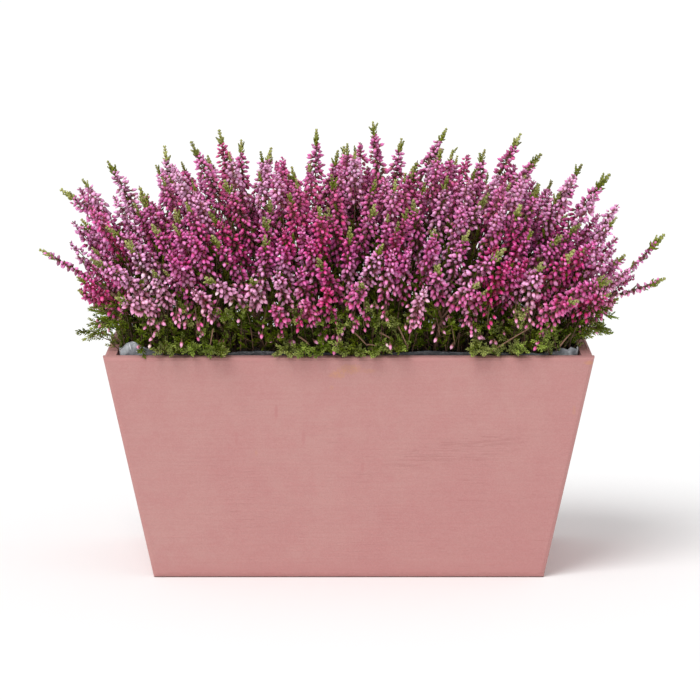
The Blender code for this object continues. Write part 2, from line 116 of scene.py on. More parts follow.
Row = namedtuple("Row", "sprays spikes root_y tip_y root_reach tip_reach share length")
ROWS = (  # on either side of the crest, from front to back
    Row(5, 4, -0.052, -0.098, 0.14, 0.186, 0.86, 0.066),
    Row(5, 4, -0.026, -0.052, 0.125, 0.165, 0.92, 0.082),
    Row(4, 4, 0.028, 0.054, 0.105, 0.15, 0.84, 0.082),
    Row(4, 4, 0.052, 0.098, 0.13, 0.175, 0.84, 0.068),
)
CREST_ROOT_Y, CREST_ROOT_REACH, CREST_LENGTH = 0.002, 0.145, 0.09
CREST_BLEND = 0.035  # how far along the crest its mean height is taken
DOME_FALL, DOME_HALF_DEPTH, DOME_POWER = 0.5, 0.115, 1.6
TIP_RING = 0.022  # radius of the ring that a spray's tips stand on
TIP_RING_RANGE = (0.85, 1.2)
TIP_RING_STRETCH = 1.25  # along x
TIP_TURN = 0.15  # how far a tip may stand from its place on the ring, as a share of the step
TIP_HEIGHTS = (0.9, 1.04)
ROW_SHIFT = 0.006
STEM_LEAN, STEM_BEND = 0.16, 0.55  # where a stem turns, as shares of its way across and of its way up
SPIKE_FOLLOW, SPIKE_SPREAD = 0.4, 0.55  # how far a spike follows the stem, and how early it spreads

SIDE_SPRAYS = (  # which reach out past the ends: root, fork and tips, as x, y and height above the rim
    ((-0.158, -0.03), (-0.196, -0.036, 0.046), ((-0.255, -0.03, 0.081),)),
    ((0.156, -0.03), (0.206, -0.036, 0.042), ((0.257, -0.046, 0.094), (0.262, -0.022, 0.056))),
)

SIDES = 6  # of a stem, which its side shoots grow from
SPIKE_RADIUS = 0.0094
SHOOT_RINGS = 8
SHOOT_CORE = 0.0026
SHOOT_REACH = 0.026
SHOOT_RISE = 0.018
SHOOT_RANGE = (0.8, 1.1)
SHOOT_DRAW_IN = 0.85  # a shoot with no room is shortened by this share at a time
SHOOT_LEAST = 0.35  # and left out below this one
SHOOT_TESTS = (0.6, 0.8, 1.0)  # where along a shoot its room is tested
COLLAR_LENGTH = 0.005
CLEAR = 0.0012  # kept between neighbouring sprays
LEAFY = 0.005  # the room that a spike leaves round a neighbour's stem
TRIES, TRY_STEP, TRY_STRETCH, TRY_DROP = 40, 0.0005, 1.6, 0.3  # for a spike's tip that has to move aside
SEED = 27

# How far out a spike's buds and a stem's shoots stand: distance along, and share of the full reach
SPIKE_OUTLINE = (
    (0.0, 0.14), (0.11, 0.14), (0.22, 0.45), (0.36, 0.84), (0.5, 1.0), (0.72, 0.95), (0.84, 0.72),
    (0.9, 0.36), (0.97, 0.26), (1.0, 0.05),
)
SHOOT_OUTLINE = ((0.0, 0.5), (0.3, 0.95), (0.7, 1.0), (1.0, 0.6))

Path = namedtuple("Path", "start bend end")
Spray = namedtuple("Spray", "name root stem spikes shoots tone")

# What only the finer pieces have

PLANT_NUMBERS = ("along", "tone", "shade")  # what the plant's materials read from each vert; on the spikes' buds the shade is painted shade, darker nearer the stalk, elsewhere a lightness that differs at random
LEAF, BARK = 1, 2  # their materials' places on a piece, after the buds'
GOLDEN_ANGLE = 2.39996
UP = Vector((0.0, 0.0, 1.0))
STREAM = {"soil": 7, "buds": 11, "shoots": 13, "rim": 17, "fill": 19, "ground": 23, "plumes": 29}  # seeds

# A bud's outline and its rings by place along it, its size and its droop by place along the spike
BUD_OUTLINE = ((0.0, 0.0), (0.25, 0.74), (0.33, 0.92), (0.5, 1.0), (0.67, 0.84), (0.75, 0.66), (1.0, 0.0))
BUD_STATIONS = (
    (0.0, 0.0), (0.25, 0.09), (0.33, 0.2), (0.5, 0.38), (0.67, 0.66), (0.75, 0.76), (1.0, 1.0),
)
BUD_RIPENESS = ((0.0, 0.8), (0.25, 0.95), (0.6, 1.0), (0.8, 0.88), (0.93, 0.68), (1.0, 0.5))
BUD_DROOP = ((0.0, 0.95), (0.3, 0.75), (0.55, 0.45), (0.75, 0.1), (0.92, -0.6))  # radians below level
BUD_FOLDS = (0.02, 0.12)  # how deep the folds between its sepals are at its foot and at its tip
CALYX = (-0.1, 0.95, 0.8)  # its middle, its width against the bud's, and its depth
BUD_PLACES = (0.2, 0.905)  # the part of a spike that carries buds
FILL_BUD_START = 0.04  # and of the head of one that fills in, where they start
BUD_LEAST_REACH = (0.0052, 0.0034)  # of a bud's tip from the stalk, on the frame's spikes and on the rest
BUD_REACH, BUD_SWING = (0.5, 1.12), 0.0016  # its tip against the spike's outline, and how far it hangs
BUD_SIZES, BUD_WIDTHS = (0.8, 1.15), (0.9, 1.12)
BUD_SWAY = (0.3, 0.25)  # how far its turn and its droop stray, in radians
BUD_LEAN = (0.6, 0.4)  # how much it droops straight down, and how much back along the stalk
BUDS_ABOVE = 0.022  # the rim, where the lowest buds are
# how much the tone and the painted shade of a bud stray, and the painted shade of the outermost
BUD_TONE_SPREAD, BUD_SHADE_SPREAD, BUD_MOST_SHADE = 0.1, 0.18, 0.9
WHITE_AND_HIGHLIT_BUDS = (0.03, 0.6)  # the share of buds that are nearly white, partly as painted highlights, and how much paler they are
SPRAY_TONES = (0.42, 0.58, 0.76)
SPIKE_TONES = (0.24, 0.27)  # how much the tone differs between the frame's spikes and between the rest
FILL_TONE = 0.57
BACK_BUDS = 0.02  # spikes that end further back than this have plainer buds
CREST_FOOT, CREST_RISE = 0.095, 0.05  # where the crest starts above the rim, and how soon it is full
CREST_PALER = 0.14  # how much paler the buds are there
BUD_GATHER = (0.85, 0.62)  # how much buds gather towards a spike's end, low down and in the crest
BUD_LEAST_SHADE = (0.1, 0.26)  # and how dark the painted shade makes the innermost

LONE_SPRAYS = ("spray_25", "spray_26")  # whose spikes stand alone at the ends
LONE_TONE, LONE_CROWD, LONE_SIZE = 0.74, 0.62, 0.86  # their buds' tone, and number and size against the rest

Stalk = namedtuple("Stalk", "rings sides foot tip")  # with its radius at its foot and at its tip
WOODY_STEM = Stalk(12, 7, STEM_RADIUS, 0.0011)
SPIKE_STALK = Stalk(12, 5, 0.0011, 0.0004)
FILL_STALK = Stalk(9, 4, 0.0009, 0.0004)
SHOOT_STALK = Stalk(4, 3, 0.0007, 0.0003)
HANGING_STALK = Stalk(4, 3, 0.0006, 0.0003)
BARE_TWIG = Stalk(6, 4, 0.00085, 0.0005)
STEM_TONE, STALK_TONE, HANGING_TONE, BARE_TONE = 0.3, 0.4, 0.6, 0.8
FRAMES, SHOOT_FRAMES = 24, 8  # along a spike and along a shoot, for what grows on it

Twig = namedtuple("Twig", "levels whorl leaf half_width tilt rounded core")
PLAIN_TWIG = Twig(7, 2, (0.3, 0.22), 0.086, (0.66, 0.24), False, (0.05, 0.012))
FULL_TWIG = Twig(5, 2, (0.46, 0.3), 0.086, (0.7, 0.32), True, (0.045, 0.015))
TIP_TWIG = Twig(5, 2, (0.36, 0.19), 0.105, (0.62, 0.1), True, (0.11, 0.03))
TWIG_CORE = 0.88  # the length of its core against its own
TWIG_WHORLS = (0.02, 0.8)  # where its first and last whorls are
TWIG_TURN, TWIG_OUT, LEAF_FLATNESS = 0.25, 0.03, 0.6
TIP_LENGTH = 0.0145  # of the green shoot that a spike ends in
TIP_SUNK = 0.8  # how much of it lies along the spike
TIP_SIZES, FILL_TIP_SIZES, BESIDE_SIZES = (0.85, 1.2), (0.55, 0.95), (0.5, 0.72)
TIP_CHOICES, FILL_TIP_CHOICES = (1, 2, 2, 3), (0, 1, 1, 2)  # how many smaller ones stand beside it
TIP_WIDTHS, TIP_SHADES, TIP_TONES, BESIDE_TONES = (1.0, 1.25), (0.3, 1.0), (0.7, 1.05), (0.6, 1.0)
BESIDE_PLACES, BESIDE_SPREADS = (-0.03, 0.05), (0.35, 0.6)  # where they start, and their angle to the spike

Leaves = namedtuple("Leaves", "count places sizes tones")  # the twigs close along a stalk
OWN_LEAVES = Leaves(7, (0.12, 0.92), (0.006, 0.0085), (0.0, 0.6))
FILL_LEAVES = Leaves(5, (0.15, 0.65), (0.011, 0.017), (0.0, 0.05))
LEAF_SPREADS = (0.3, 0.7)  # their angle to the stalk

# The leafy twigs of a shoot, the one at its end and those along it
END_TWIG, END_SIZES, END_FRESHER = 0.86, (0.9, 1.25), 0.25
SIDE_TWIGS, SIDE_SIZES, SIDE_TONES = (0.22, 0.92), (0.65, 1.05), (-0.1, 0.2)
SIDE_SPREADS, SIDE_LIFT = (0.55, 0.95), 0.15  # their angle to the shoot, and how much they turn up

CLUMP_DEPTH = 0.5  # a clump's reach across is longer in depth by one over this
CLUMPS = (  # where the buds' tone shifts: the place, how far it reaches, and how much paler
    ((-0.2, -0.05, 0.23), 0.022, -0.42), ((-0.101, -0.04, 0.292), 0.026, -0.5),
    ((-0.052, -0.06, 0.275), 0.024, -0.45), ((-0.023, -0.02, 0.304), 0.026, -0.45),
    ((-0.008, -0.07, 0.272), 0.024, -0.5), ((-0.019, -0.1, 0.234), 0.014, -0.5),
    ((0.042, -0.02, 0.3), 0.024, -0.5), ((0.127, -0.05, 0.271), 0.024, -0.5),
    ((0.184, -0.05, 0.25), 0.022, -0.42), ((0.111, -0.09, 0.23), 0.012, -0.45),
    ((-0.161, -0.09, 0.24), 0.026, 0.48), ((-0.121, -0.09, 0.238), 0.02, 0.48),
    ((-0.064, -0.09, 0.238), 0.021, 0.48), ((0.012, -0.09, 0.243), 0.02, 0.4),
    ((0.074, -0.08, 0.247), 0.03, 0.36), ((0.139, -0.09, 0.23), 0.018, 0.4),
    ((0.206, -0.04, 0.238), 0.03, 0.4), ((0.159, -0.09, 0.214), 0.016, 0.4),
    ((0.2, -0.01, 0.312), 0.034, 0.35), ((-0.215, -0.01, 0.3), 0.034, 0.35),
    ((0.074, 0.0, 0.345), 0.024, 0.35), ((-0.14, 0.0, 0.335), 0.03, 0.25),
    ((0.14, 0.09, 0.24), 0.03, 0.36), ((-0.07, 0.09, 0.24), 0.03, -0.45),
)

FILL_REACH = (0.23, 0.108)  # half the size, from above, of the heather that the filling spikes make up
FILL_POWER = 2.6  # how square the heather is from above
FILL_ROOTS = (0.74, 0.6)  # how far out a spike that fills in has its root
FILL_HEAD, HEAD_START = 0.058, 0.35  # how much of it carries buds, and the lowest share where they start
FILL_TIPPED = 0.42  # the part of them that end in a green shoot
HEAD_RADIUS = 0.009
HEAD_OUTLINE = ((0.0, 0.7), (0.15, 0.95), (0.5, 1.0), (0.75, 0.86), (0.9, 0.5), (1.0, 0.2))
FILL_RADIUS = 0.0056  # the room that it holds
FRONT_GAPS = (-0.03, 0.14, 0.007)  # in front of the first and within the second, it holds the third
FILL_OVERLAP = 0.0015
FILL_TRIES = 4500
FILL_INSIDE = (0.82, 0.99)  # its tip as shares of the heather's height, in the middle
FILL_OUTSIDE = (0.24, 0.88)  # and at the outside
FILL_BEND = (0.25, 0.55)  # where it turns, as shares of its way across and of its way up
FILL_EDGE = (0.7, 0.25)  # where its outside begins, and how soon it is full
FILL_ROOT_DEPTH = 0.003
FILL_EVEN = 0.002  # how much further away a spray counts for each spike that it has taken
FRONT_ENDS = 0.86  # the share of its length where the front counts
SPIKE_FOOT = 0.002  # how far a spike's stalk starts inside its stem
EDGE_TIPS = (  # more of them that stand out at the two ends
    (-0.219, -0.018, 0.137), (-0.225, 0.01, 0.128), (-0.212, -0.045, 0.118), (-0.23, -0.03, 0.087),
    (-0.222, -0.058, 0.062), (-0.224, 0.03, 0.098), (0.219, -0.04, 0.108), (0.222, -0.02, 0.09),
    (0.229, -0.052, 0.068), (0.214, -0.066, 0.05), (0.226, 0.024, 0.112), (0.236, -0.03, 0.06),
    (0.203, -0.03, 0.126), (0.186, -0.02, 0.142),
)
FRONT_LOW = 0.5  # the lowest tip along the front and the back


# Settings


def colour(name, description, default):
    return FloatVectorProperty(
        name=name, description=description, default=default, subtype="COLOR", min=0, max=1,
    )


def length(name, description, default):
    return FloatProperty(
        name=name, description=description, default=default, unit="LENGTH", min=0, precision=4,
    )


def number_of(name, description, default):
    return IntProperty(name=name, description=description, default=default, min=0)


def strength(name, description, default):
    return FloatProperty(name=name, description=description, default=default, min=0)


class TroughSettings(bpy.types.PropertyGroup):
    """The painted boards."""

    paint: colour("Paint", "The chalky tone of the paint", (0.522, 0.268, 0.25))
    deep_paint: colour("Deep paint", "The stronger tone that shows through it", (0.496, 0.219, 0.213))
    grain: colour("Grain", "The dark dashes of the grain", (0.29, 0.105, 0.097))
    bare: colour("Worn patches", "Peach wood where the paint is thin", (0.57, 0.282, 0.165))
    grain_depth: length("Grain depth", "Depth of the brush and grain lines", 0.00025)


class FilmSettings(bpy.types.PropertyGroup):
    """The lining film."""

    grey: colour("Film", "Colour of the film", (0.03, 0.034, 0.04))
    # the silvery colour also stands in for painted highlights where the film is bunched
    silver_and_highlight: colour("Stretched film", "Colour of the film where it is bunched", (0.3, 0.325, 0.35))
    thickness: length("Thickness", "Thickness of the film", 0.0004)
    crumple: length("Crumple", "Depth of the folds above the soil", 0.0022)
    bunch: length("Bunch", "How far the film is drawn in at the corners", 0.01)
    cut_length: length("Cut length", "Length of the film before it was folded in", 0.66)
    cut_width: length("Cut width", "Width of the film before it was folded in", 0.5)


class SoilSettings(bpy.types.PropertyGroup):
    """The potting soil."""

    dark: colour("Dark soil", "Colour of the damp soil", (0.02, 0.013, 0.009))
    light: colour("Light soil", "Colour of its dry fibres", (0.085, 0.055, 0.036))
    crumbs: number_of("Crumbs", "Number of loose crumbs", 450)
    crumb_size: length("Crumb size", "Radius of a middling crumb", 0.0016)


class HeatherSettings(bpy.types.PropertyGroup):
    """The heather's buds, leaves and stems."""

    magenta: colour("Magenta buds", "The deepest of the three bud colours", (0.69, 0.015, 0.235))
    mauve: colour("Mauve buds", "The middle of the three bud colours", (0.7, 0.1, 0.408))
    pale: colour("Pale buds", "The lightest of the three bud colours", (0.865, 0.4, 0.705))
    old_leaf: colour("Old leaves", "Colour of the leaves low on a shoot", (0.04, 0.036, 0.004))
    leaf: colour("Leaves", "Colour of the leaves in full growth", (0.146, 0.174, 0.01))
    young_leaf: colour("Young leaves", "Colour of the leaves at a shoot's tip", (0.38, 0.39, 0.14))
    fresh_leaf: colour("Fresh leaves", "Tint of the leaves where they are greener", (0.78, 1.0, 0.48))
    bark: colour("Bark", "Colour of the woody stems", (0.18, 0.09, 0.054))
    bud_length: length("Bud length", "Length of a full-grown bud", 0.0056)
    bud_width: FloatProperty(
        name="Bud width", description="Half width as a share of length", default=0.295, subtype="FACTOR",
        min=0.1, max=1,
    )
    buds_per_metre: number_of("Buds per metre", "Buds along a metre of spike", 1240)
    sprig_length: length("Sprig length", "Length of the smallest leafy twig", 0.0092)
    rim_shoots: number_of("Rim shoots", "Low leafy shoots round the edge", 150)
    ground_shoots: number_of("Ground shoots", "Leafy shoots among the stems", 138)


class StudioSettings(bpy.types.PropertyGroup):
    """Floor, light and camera."""

    floor_size: length("Floor size", "Half the floor's side", 30.0)
    camera_distance: length("Camera distance", "From the front board to the camera", 2.8)
    camera_height: length("Camera height", "Of the camera above the rim", 0.453)
    aim_height: length("Aim height", "Of the picture's middle above the front rim", 0.0059)
    aim_shift: length("Aim shift", "Of the camera to the right of the middle", 0.001)
    lens: FloatProperty(
        name="Lens", description="Focal length in millimetres", default=179.6, unit="CAMERA", min=1,
    )
    sky: strength("Sky", "Strength of the even light from all round", 0.66)
    key: strength("Key light", "Strength of the soft light from the upper left", 1.75)
    key_softness: FloatProperty(
        name="Key softness", description="How wide the key light looks from the object", default=0.6,
        unit="ROTATION", min=0,
    )


class HeatherPartSettings(bpy.types.PropertyGroup):
    """Everything that can be set on this part."""

    trough: PointerProperty(type=TroughSettings)
    film: PointerProperty(type=FilmSettings)
    soil: PointerProperty(type=SoilSettings)
    heather: PointerProperty(type=HeatherSettings)
    studio: PointerProperty(type=StudioSettings)


# Small helpers


def mix(low, high, share):
    return low + (high - low) * share


def outline_at(outline, share):
    """Reads a list of (place, value) points, with straight runs between them."""
    for (a, low), (b, high) in zip(outline, outline[1:]):
        if share <= b:
            return mix(low, high, (share - a) / (b - a))
    return outline[-1][1]


def held(value, low=0.0, high=1.0):
    return max(low, min(high, value))


def add_object(name, shape, materials):
    """Puts a finished bmesh into the scene."""
    mesh = bpy.data.meshes.new(name)
    shape.to_mesh(mesh)
    shape.free()
    for material in materials:
        mesh.materials.append(material)
    made = bpy.data.objects.new(name, mesh)
    bpy.context.scene.collection.objects.link(made)
    return made


def add_piece(name, shape, materials, replaced=()):
    """Puts a finished bmesh into the scene as a piece that rides on the part."""
    piece = add_object(name, shape, materials)
    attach(piece, "root")
    if replaced:
        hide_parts(*replaced)
    return piece


# The trough's sizes, as in the part's source


def half_length(z):
    return mix(FOOT_LENGTH, RIM_LENGTH, z / HEIGHT) / 2


def end_thickness():
    return BOARD * math.hypot(1.0, (RIM_LENGTH - FOOT_LENGTH) / 2 / HEIGHT)


def inner_half_length(z):
    return half_length(z) - end_thickness()


def film_half_size(z):
    return inner_half_length(min(z, HEIGHT)) - GAP, DEPTH / 2 - BOARD - GAP


def film_lip(share_x, share_y):
    corner = abs(share_x * share_y) ** FILM_CORNER_POWER
    wave = sum(
        height * math.sin(turn_x * share_x + turn_y * share_y)
        for height, turn_x, turn_y in FILM_WAVES
    )
    return FILM_LIP + FILM_CORNER * corner + wave


def soil_height(x, y):
    half_x, half_y = soil_half_size(HEIGHT)
    power_x, power_y = MOUND_EDGES
    mound = max(math.exp(-(((x - ball) / MOUND_RADIUS) ** 2)) for ball in ROOT_BALLS)
    margin = (1.0 - (x / half_x) ** power_x) * (1.0 - (y / half_y) ** power_y)
    return HEIGHT - SOIL_DROP + SOIL_CROWN * mound * max(margin, 0.0)


def soil_half_size(z):
    half_x, half_y = film_half_size(z)
    return half_x - FILM * end_thickness() / BOARD - GAP, half_y - FILM - GAP


# Where the sprays stand, as in the part's source


def at(path, share):
    """A place on a path, by how far along it is."""
    back = 1.0 - share
    return path.start * back * back + path.bend * 2 * back * share + path.end * share * share


def along(path, share):
    """A path's direction at that place."""
    way = (path.bend - path.start) * (1.0 - share) + (path.end - path.bend) * share
    return way.normalized()


def part_of(path, share):
    return Path(path.start, path.start.lerp(path.bend, share), at(path, share))


def path_length(path):
    places = [at(path, step / 8) for step in range(9)]
    return sum((b - a).length for a, b in zip(places, places[1:]))


class Room:
    """The balls of space that paths hold, each with the number of its spray."""

    STEPS = 20

    def __init__(self):
        self.places = np.zeros((0, 3))
        self.radii = np.zeros(0)
        self.owners = np.zeros(0, dtype=int)

    def balls(self, path, radius_at):
        shares = [(step + 0.5) / self.STEPS for step in range(self.STEPS)]
        places = np.array([at(path, share) for share in shares])
        return places, np.array([radius_at(share) for share in shares])

    def hold(self, path, radius_at, owner):
        places, radii = self.balls(path, radius_at)
        self.places = np.vstack((self.places, places))
        self.radii = np.concatenate((self.radii, radii))
        self.owners = np.concatenate((self.owners, np.full(len(radii), owner)))

    def spare(self, path, radius_at, owner):
        others = self.owners != owner
        if not others.any():
            return 1.0
        places, radii = self.balls(path, radius_at)
        apart = np.linalg.norm(places[:, None, :] - self.places[None, others, :], axis=2)
        return float((apart - radii[:, None] - self.radii[None, others]).min())

    def apart(self, place):
        return np.linalg.norm(self.places - np.array(place), axis=1) - self.radii


def spike_radius(share):
    return SPIKE_RADIUS * outline_at(SPIKE_OUTLINE, share)


def crest_height(x):
    places = [place for place, _ in CREST]
    heights = [height for _, height in CREST]
    near = np.exp(-(((np.array(places) - x) / CREST_BLEND) ** 2))
    return float((near * np.array(heights)).sum() / near.sum())


def dome_height(x, y):
    return crest_height(x) * (1.0 - DOME_FALL * (abs(y) / DOME_HALF_DEPTH) ** DOME_POWER)


def stem_curve(root, tip):
    x, y = root
    start = Vector((x, y, soil_height(x, y) + STEM_RADIUS))
    bend = Vector((mix(x, tip.x, STEM_LEAN), mix(y, tip.y, STEM_LEAN), mix(start.z, tip.z, STEM_BEND)))
    return Path(start, bend, tip)


def spike_curve(fork, way, tip, middle):
    reach = (tip - fork).length
    return Path(fork, fork + way * reach * SPIKE_FOLLOW + (tip - middle) * SPIKE_SPREAD, tip)


def crest_tips():
    groups = []
    first = 0
    for count in CREST_SPRAYS:
        chosen = CREST[first:first + count]
        depths = CREST_DEPTHS[:count]
        groups.append([Vector((x, y, HEIGHT + up)) for (x, up), y in zip(chosen, depths)])
        first += count
    return groups


def across_at(spray, count):
    return 2.0 * spray / (count - 1) - 1.0


def row_tips(row, spray, draw):
    middle_x = across_at(spray, row.sprays) * row.tip_reach + draw.uniform(-ROW_SHIFT, ROW_SHIFT)
    turn = draw.uniform(0.0, 2.0 * math.pi)
    tips = []
    for spike in range(row.spikes):
        angle = turn + 2.0 * math.pi * (spike + draw.uniform(-TIP_TURN, TIP_TURN)) / row.spikes
        reach = TIP_RING * draw.uniform(*TIP_RING_RANGE)
        x = middle_x + TIP_RING_STRETCH * reach * math.cos(angle)
        y = row.tip_y + reach * math.sin(angle)
        up = dome_height(x, y) * row.share * draw.uniform(*TIP_HEIGHTS)
        tips.append(Vector((x, y, HEIGHT + up)))
    return tips


def settle_tip(rooms, owner, fork, way, tip, middle, draw):
    best = None
    most = -1.0
    for attempt in range(TRIES):
        shift = TRY_STEP * attempt
        aside = draw.uniform(-shift, shift)
        back = TRY_STRETCH * draw.uniform(-shift, shift)
        path = spike_curve(fork, way, tip + Vector((aside, back, -TRY_DROP * shift)), middle)
        spare = min(room.spare(path, spike_radius, owner) for room in rooms)
        if spare > most:
            best, most = path, spare
        if spare > CLEAR:
            break
    return best


def shoot_has_room(stems, spikes, owner, place):
    gaps = stems.apart(place)
    own = stems.owners == owner
    if gaps[~own].min() < gaps[own].min() + 2 * CLEAR or spikes.apart(place).min() < CLEAR:
        return False
    lip = HEIGHT + FILM_LIP + FILM_CORNER
    half_x, half_y = soil_half_size(min(place.z, HEIGHT))
    return place.z > lip or (abs(place.x) < half_x - CLEAR and abs(place.y) < half_y - CLEAR)


def grow_shoots(stems, spikes, owner, stem, draw):
    shoots = {}
    spine = frames_along(stops(stem, SHOOT_RINGS))
    for ring in range(1, SHOOT_RINGS):
        for corner in range(SIDES):
            if (ring + corner) % 2:
                continue
            share = outline_at(SHOOT_OUTLINE, ring / SHOOT_RINGS) * draw.uniform(*SHOOT_RANGE)
            while share > SHOOT_LEAST:
                places = [shoot_spot(spine[ring], corner, share * part) for part in SHOOT_TESTS]
                if all(shoot_has_room(stems, spikes, owner, place) for place in places):
                    break
                share *= SHOOT_DRAW_IN
            if share > SHOOT_LEAST:
                shoots[ring, corner] = share
    return shoots


@functools.cache
def lay_out_sprays():
    """Every spray's root, stem, spikes and shoots, the crest first and then the rows beside it."""
    draw = random.Random(SEED)
    plans = []
    for spray, tips in enumerate(crest_tips()):
        root = (across_at(spray, len(CREST_SPRAYS)) * CREST_ROOT_REACH, CREST_ROOT_Y)
        plans.append((root, tips, CREST_LENGTH, None))
    for row in ROWS:
        for spray in range(row.sprays):
            root = (across_at(spray, row.sprays) * row.root_reach, row.root_y)
            plans.append((root, row_tips(row, spray, draw), row.length, None))
    for root, fork, tips in SIDE_SPRAYS:
        places = [Vector((x, y, HEIGHT + up)) for x, y, up in tips]
        plans.append((root, places, None, Vector((fork[0], fork[1], HEIGHT + fork[2]))))

    stem_room = Room()
    stems = []
    for owner, (root, tips, reach, fork) in enumerate(plans):
        middle = sum(tips, Vector()) / len(tips)
        stem = stem_curve(root, fork or middle)
        if fork is None:
            stem = part_of(stem, 1.0 - reach / path_length(stem))
        stems.append((stem, middle))
        stem_room.hold(stem, lambda share: LEAFY, owner)

    spike_room = Room()
    bunches = []
    for owner, ((root, tips, _, _), (stem, middle)) in enumerate(zip(plans, stems)):
        way = along(stem, 1.0)
        fork = stem.end + way * (GAP + COLLAR_LENGTH / 2)
        rooms = (stem_room, spike_room)
        spikes = [settle_tip(rooms, owner, fork, way, tip, middle, draw) for tip in tips]
        for path in spikes:
            spike_room.hold(path, spike_radius, owner)
        bunches.append(spikes)

    sprays = []
    for owner, (plan, (stem, _), spikes) in enumerate(zip(plans, stems, bunches)):
        shoots = grow_shoots(stem_room, spike_room, owner, stem, draw)
        tone = draw.randrange(3)
        sprays.append(Spray(f"spray_{owner + 1:02d}", plan[0], stem, spikes, shoots, tone))
    return sprays


def stops(path, rings):
    """Evenly spaced places on a path, each with the path's direction."""
    return [(at(path, ring / rings), along(path, ring / rings)) for ring in range(rings + 1)]


def frames_along(spine):
    """Gives each place of a spine two directions across it, which don't twist from one to the next."""
    side = spine[0][1].orthogonal().normalized()
    frames = []
    for place, way in spine:
        side = (side - way * side.dot(way)).normalized()
        frames.append((place, way, side, way.cross(side)))
    return frames


def spot(frame, corner, reach, rise):
    place, way, right, up = frame
    angle = 2.0 * math.pi * corner / SIDES
    return place + (right * math.cos(angle) + up * math.sin(angle)) * reach + way * rise


def shoot_spot(frame, corner, share):
    return spot(frame, corner, SHOOT_CORE + (SHOOT_REACH - SHOOT_CORE) * share, SHOOT_RISE * share)


# Nodes


class Graph:
    """Adds nodes to the tree of a material or of a node group."""

    def __init__(self, tree):
        self.tree = tree

    def put(self, socket, value):
        if isinstance(value, bpy.types.NodeSocket):
            self.tree.links.new(value, socket)
        elif socket.type == "RGBA" and len(value) == 3:
            socket.default_value = (*value, 1.0)
        else:
            socket.default_value = value

    def add(self, kind, values=None, **settings):
        made = self.tree.nodes.new(kind)
        for name, value in settings.items():
            setattr(made, name, value)
        for name, value in (values or {}).items():
            self.put(made.inputs[name], value)
        return made

    def math(self, operation, *values, clamp=False):
        made = self.add("ShaderNodeMath", operation=operation, use_clamp=clamp)
        for socket, value in zip(made.inputs, values):
            self.put(socket, value)
        return made.outputs[0]

    def vector(self, operation, *values):
        made = self.add("ShaderNodeVectorMath", operation=operation)
        for socket, value in zip(made.inputs, values):
            self.put(socket, value)
        return made.outputs["Value"] if operation == "LENGTH" else made.outputs["Vector"]

    def blend(self, share, first, second, how="MIX"):
        made = self.add("ShaderNodeMix", data_type="RGBA", blend_type=how)
        for index, value in ((0, share), (6, first), (7, second)):
            self.put(made.inputs[index], value)
        return made.outputs[2]

    def scaled(self, tint, factor):
        values = {"Vector": tint, "Scale": factor}
        return self.add("ShaderNodeVectorMath", values, operation="SCALE").outputs["Vector"]

    def coat(self, mask, strength, below, above):
        """Lays one colour over another where a mask says, at a strength."""
        return self.blend(self.math("MULTIPLY", mask, strength), below, above)

    def span(self, value, low, high, to_low=0.0, to_high=1.0):
        """Rises smoothly from to_low to to_high as the value goes from low to high."""
        values = {"Value": value, "From Min": low, "From Max": high, "To Min": to_low, "To Max": to_high}
        return self.add("ShaderNodeMapRange", values, interpolation_type="SMOOTHSTEP").outputs["Result"]

    def noise(self, where, scale, detail=3.0, roughness=0.5):
        values = {"Vector": where, "Scale": scale, "Detail": detail, "Roughness": roughness}
        return self.add("ShaderNodeTexNoise", values).outputs["Fac"]

    def turned(self, where, rotation):
        values = {"Vector": where, "Rotation": rotation}
        return self.add("ShaderNodeMapping", values).outputs["Vector"]

    def plant_number(self, name):
        return self.add("ShaderNodeAttribute", attribute_name=name).outputs["Fac"]

    def own_place(self):
        return self.add("ShaderNodeTexCoord").outputs["Object"]

    def own_height(self):
        return self.add("ShaderNodeSeparateXYZ", {"Vector": self.own_place()}).outputs["Z"]

    def use(self, group, values):
        made = self.add("ShaderNodeGroup", node_tree=group)
        for name, value in values.items():
            self.put(made.inputs[name], value)
        return made

    def raised(self, height, depth):
        """A normal from a height between 0 and 1 that stands for this depth."""
        values = {"Height": height, "Strength": 1.0, "Distance": depth}
        return self.add("ShaderNodeBump", values).outputs["Normal"]


MOTTLE_ROUGHNESS = 0.55
MARK_GRAIN, WEAR_GRAIN = (260.0, 4.0, 0.65), (140.0, 4.0, 0.6)  # scale, detail and roughness of ragged edges
MARK_EDGE = (1.0, 0.45)  # where a mark starts and is full, as shares of its half size
FOOT_SPAN, RIM_SPAN = (0.016, 0.002), (0.006, 0.002)  # from the foot, and below the rim
FOOT_LINE, FOOT_LINE_SPAN, FOOT_LINE_GAPS = 0.0036, (0.0009, 0.0002), (0.35, 0.6)


def node_group(name, vectors, floats, outputs=("Mask",)):
    """An empty shader node group with named sockets, and its graph, input node and output node."""
    group = bpy.data.node_groups.new(name, "ShaderNodeTree")
    for socket in vectors:
        group.interface.new_socket(name=socket, in_out="INPUT", socket_type="NodeSocketVector")
    for socket in floats:
        group.interface.new_socket(name=socket, in_out="INPUT", socket_type="NodeSocketFloat")
    for socket in outputs:
        group.interface.new_socket(name=socket, in_out="OUTPUT", socket_type="NodeSocketFloat")
    graph = Graph(group)
    return group, graph, graph.add("NodeGroupInput").outputs, graph.add("NodeGroupOutput").inputs


@functools.cache
def mottle_group():
    """Soft blotches: a mask that goes from 0 to 1 as noise passes from Low to High."""
    floats = ("Scale", "Detail", "Low", "High")
    group, graph, given, result = node_group("Mottle", ("Vector",), floats)
    cloud = graph.noise(given["Vector"], given["Scale"], given["Detail"], MOTTLE_ROUGHNESS)
    graph.put(result["Mask"], graph.span(cloud, given["Low"], given["High"]))
    return group


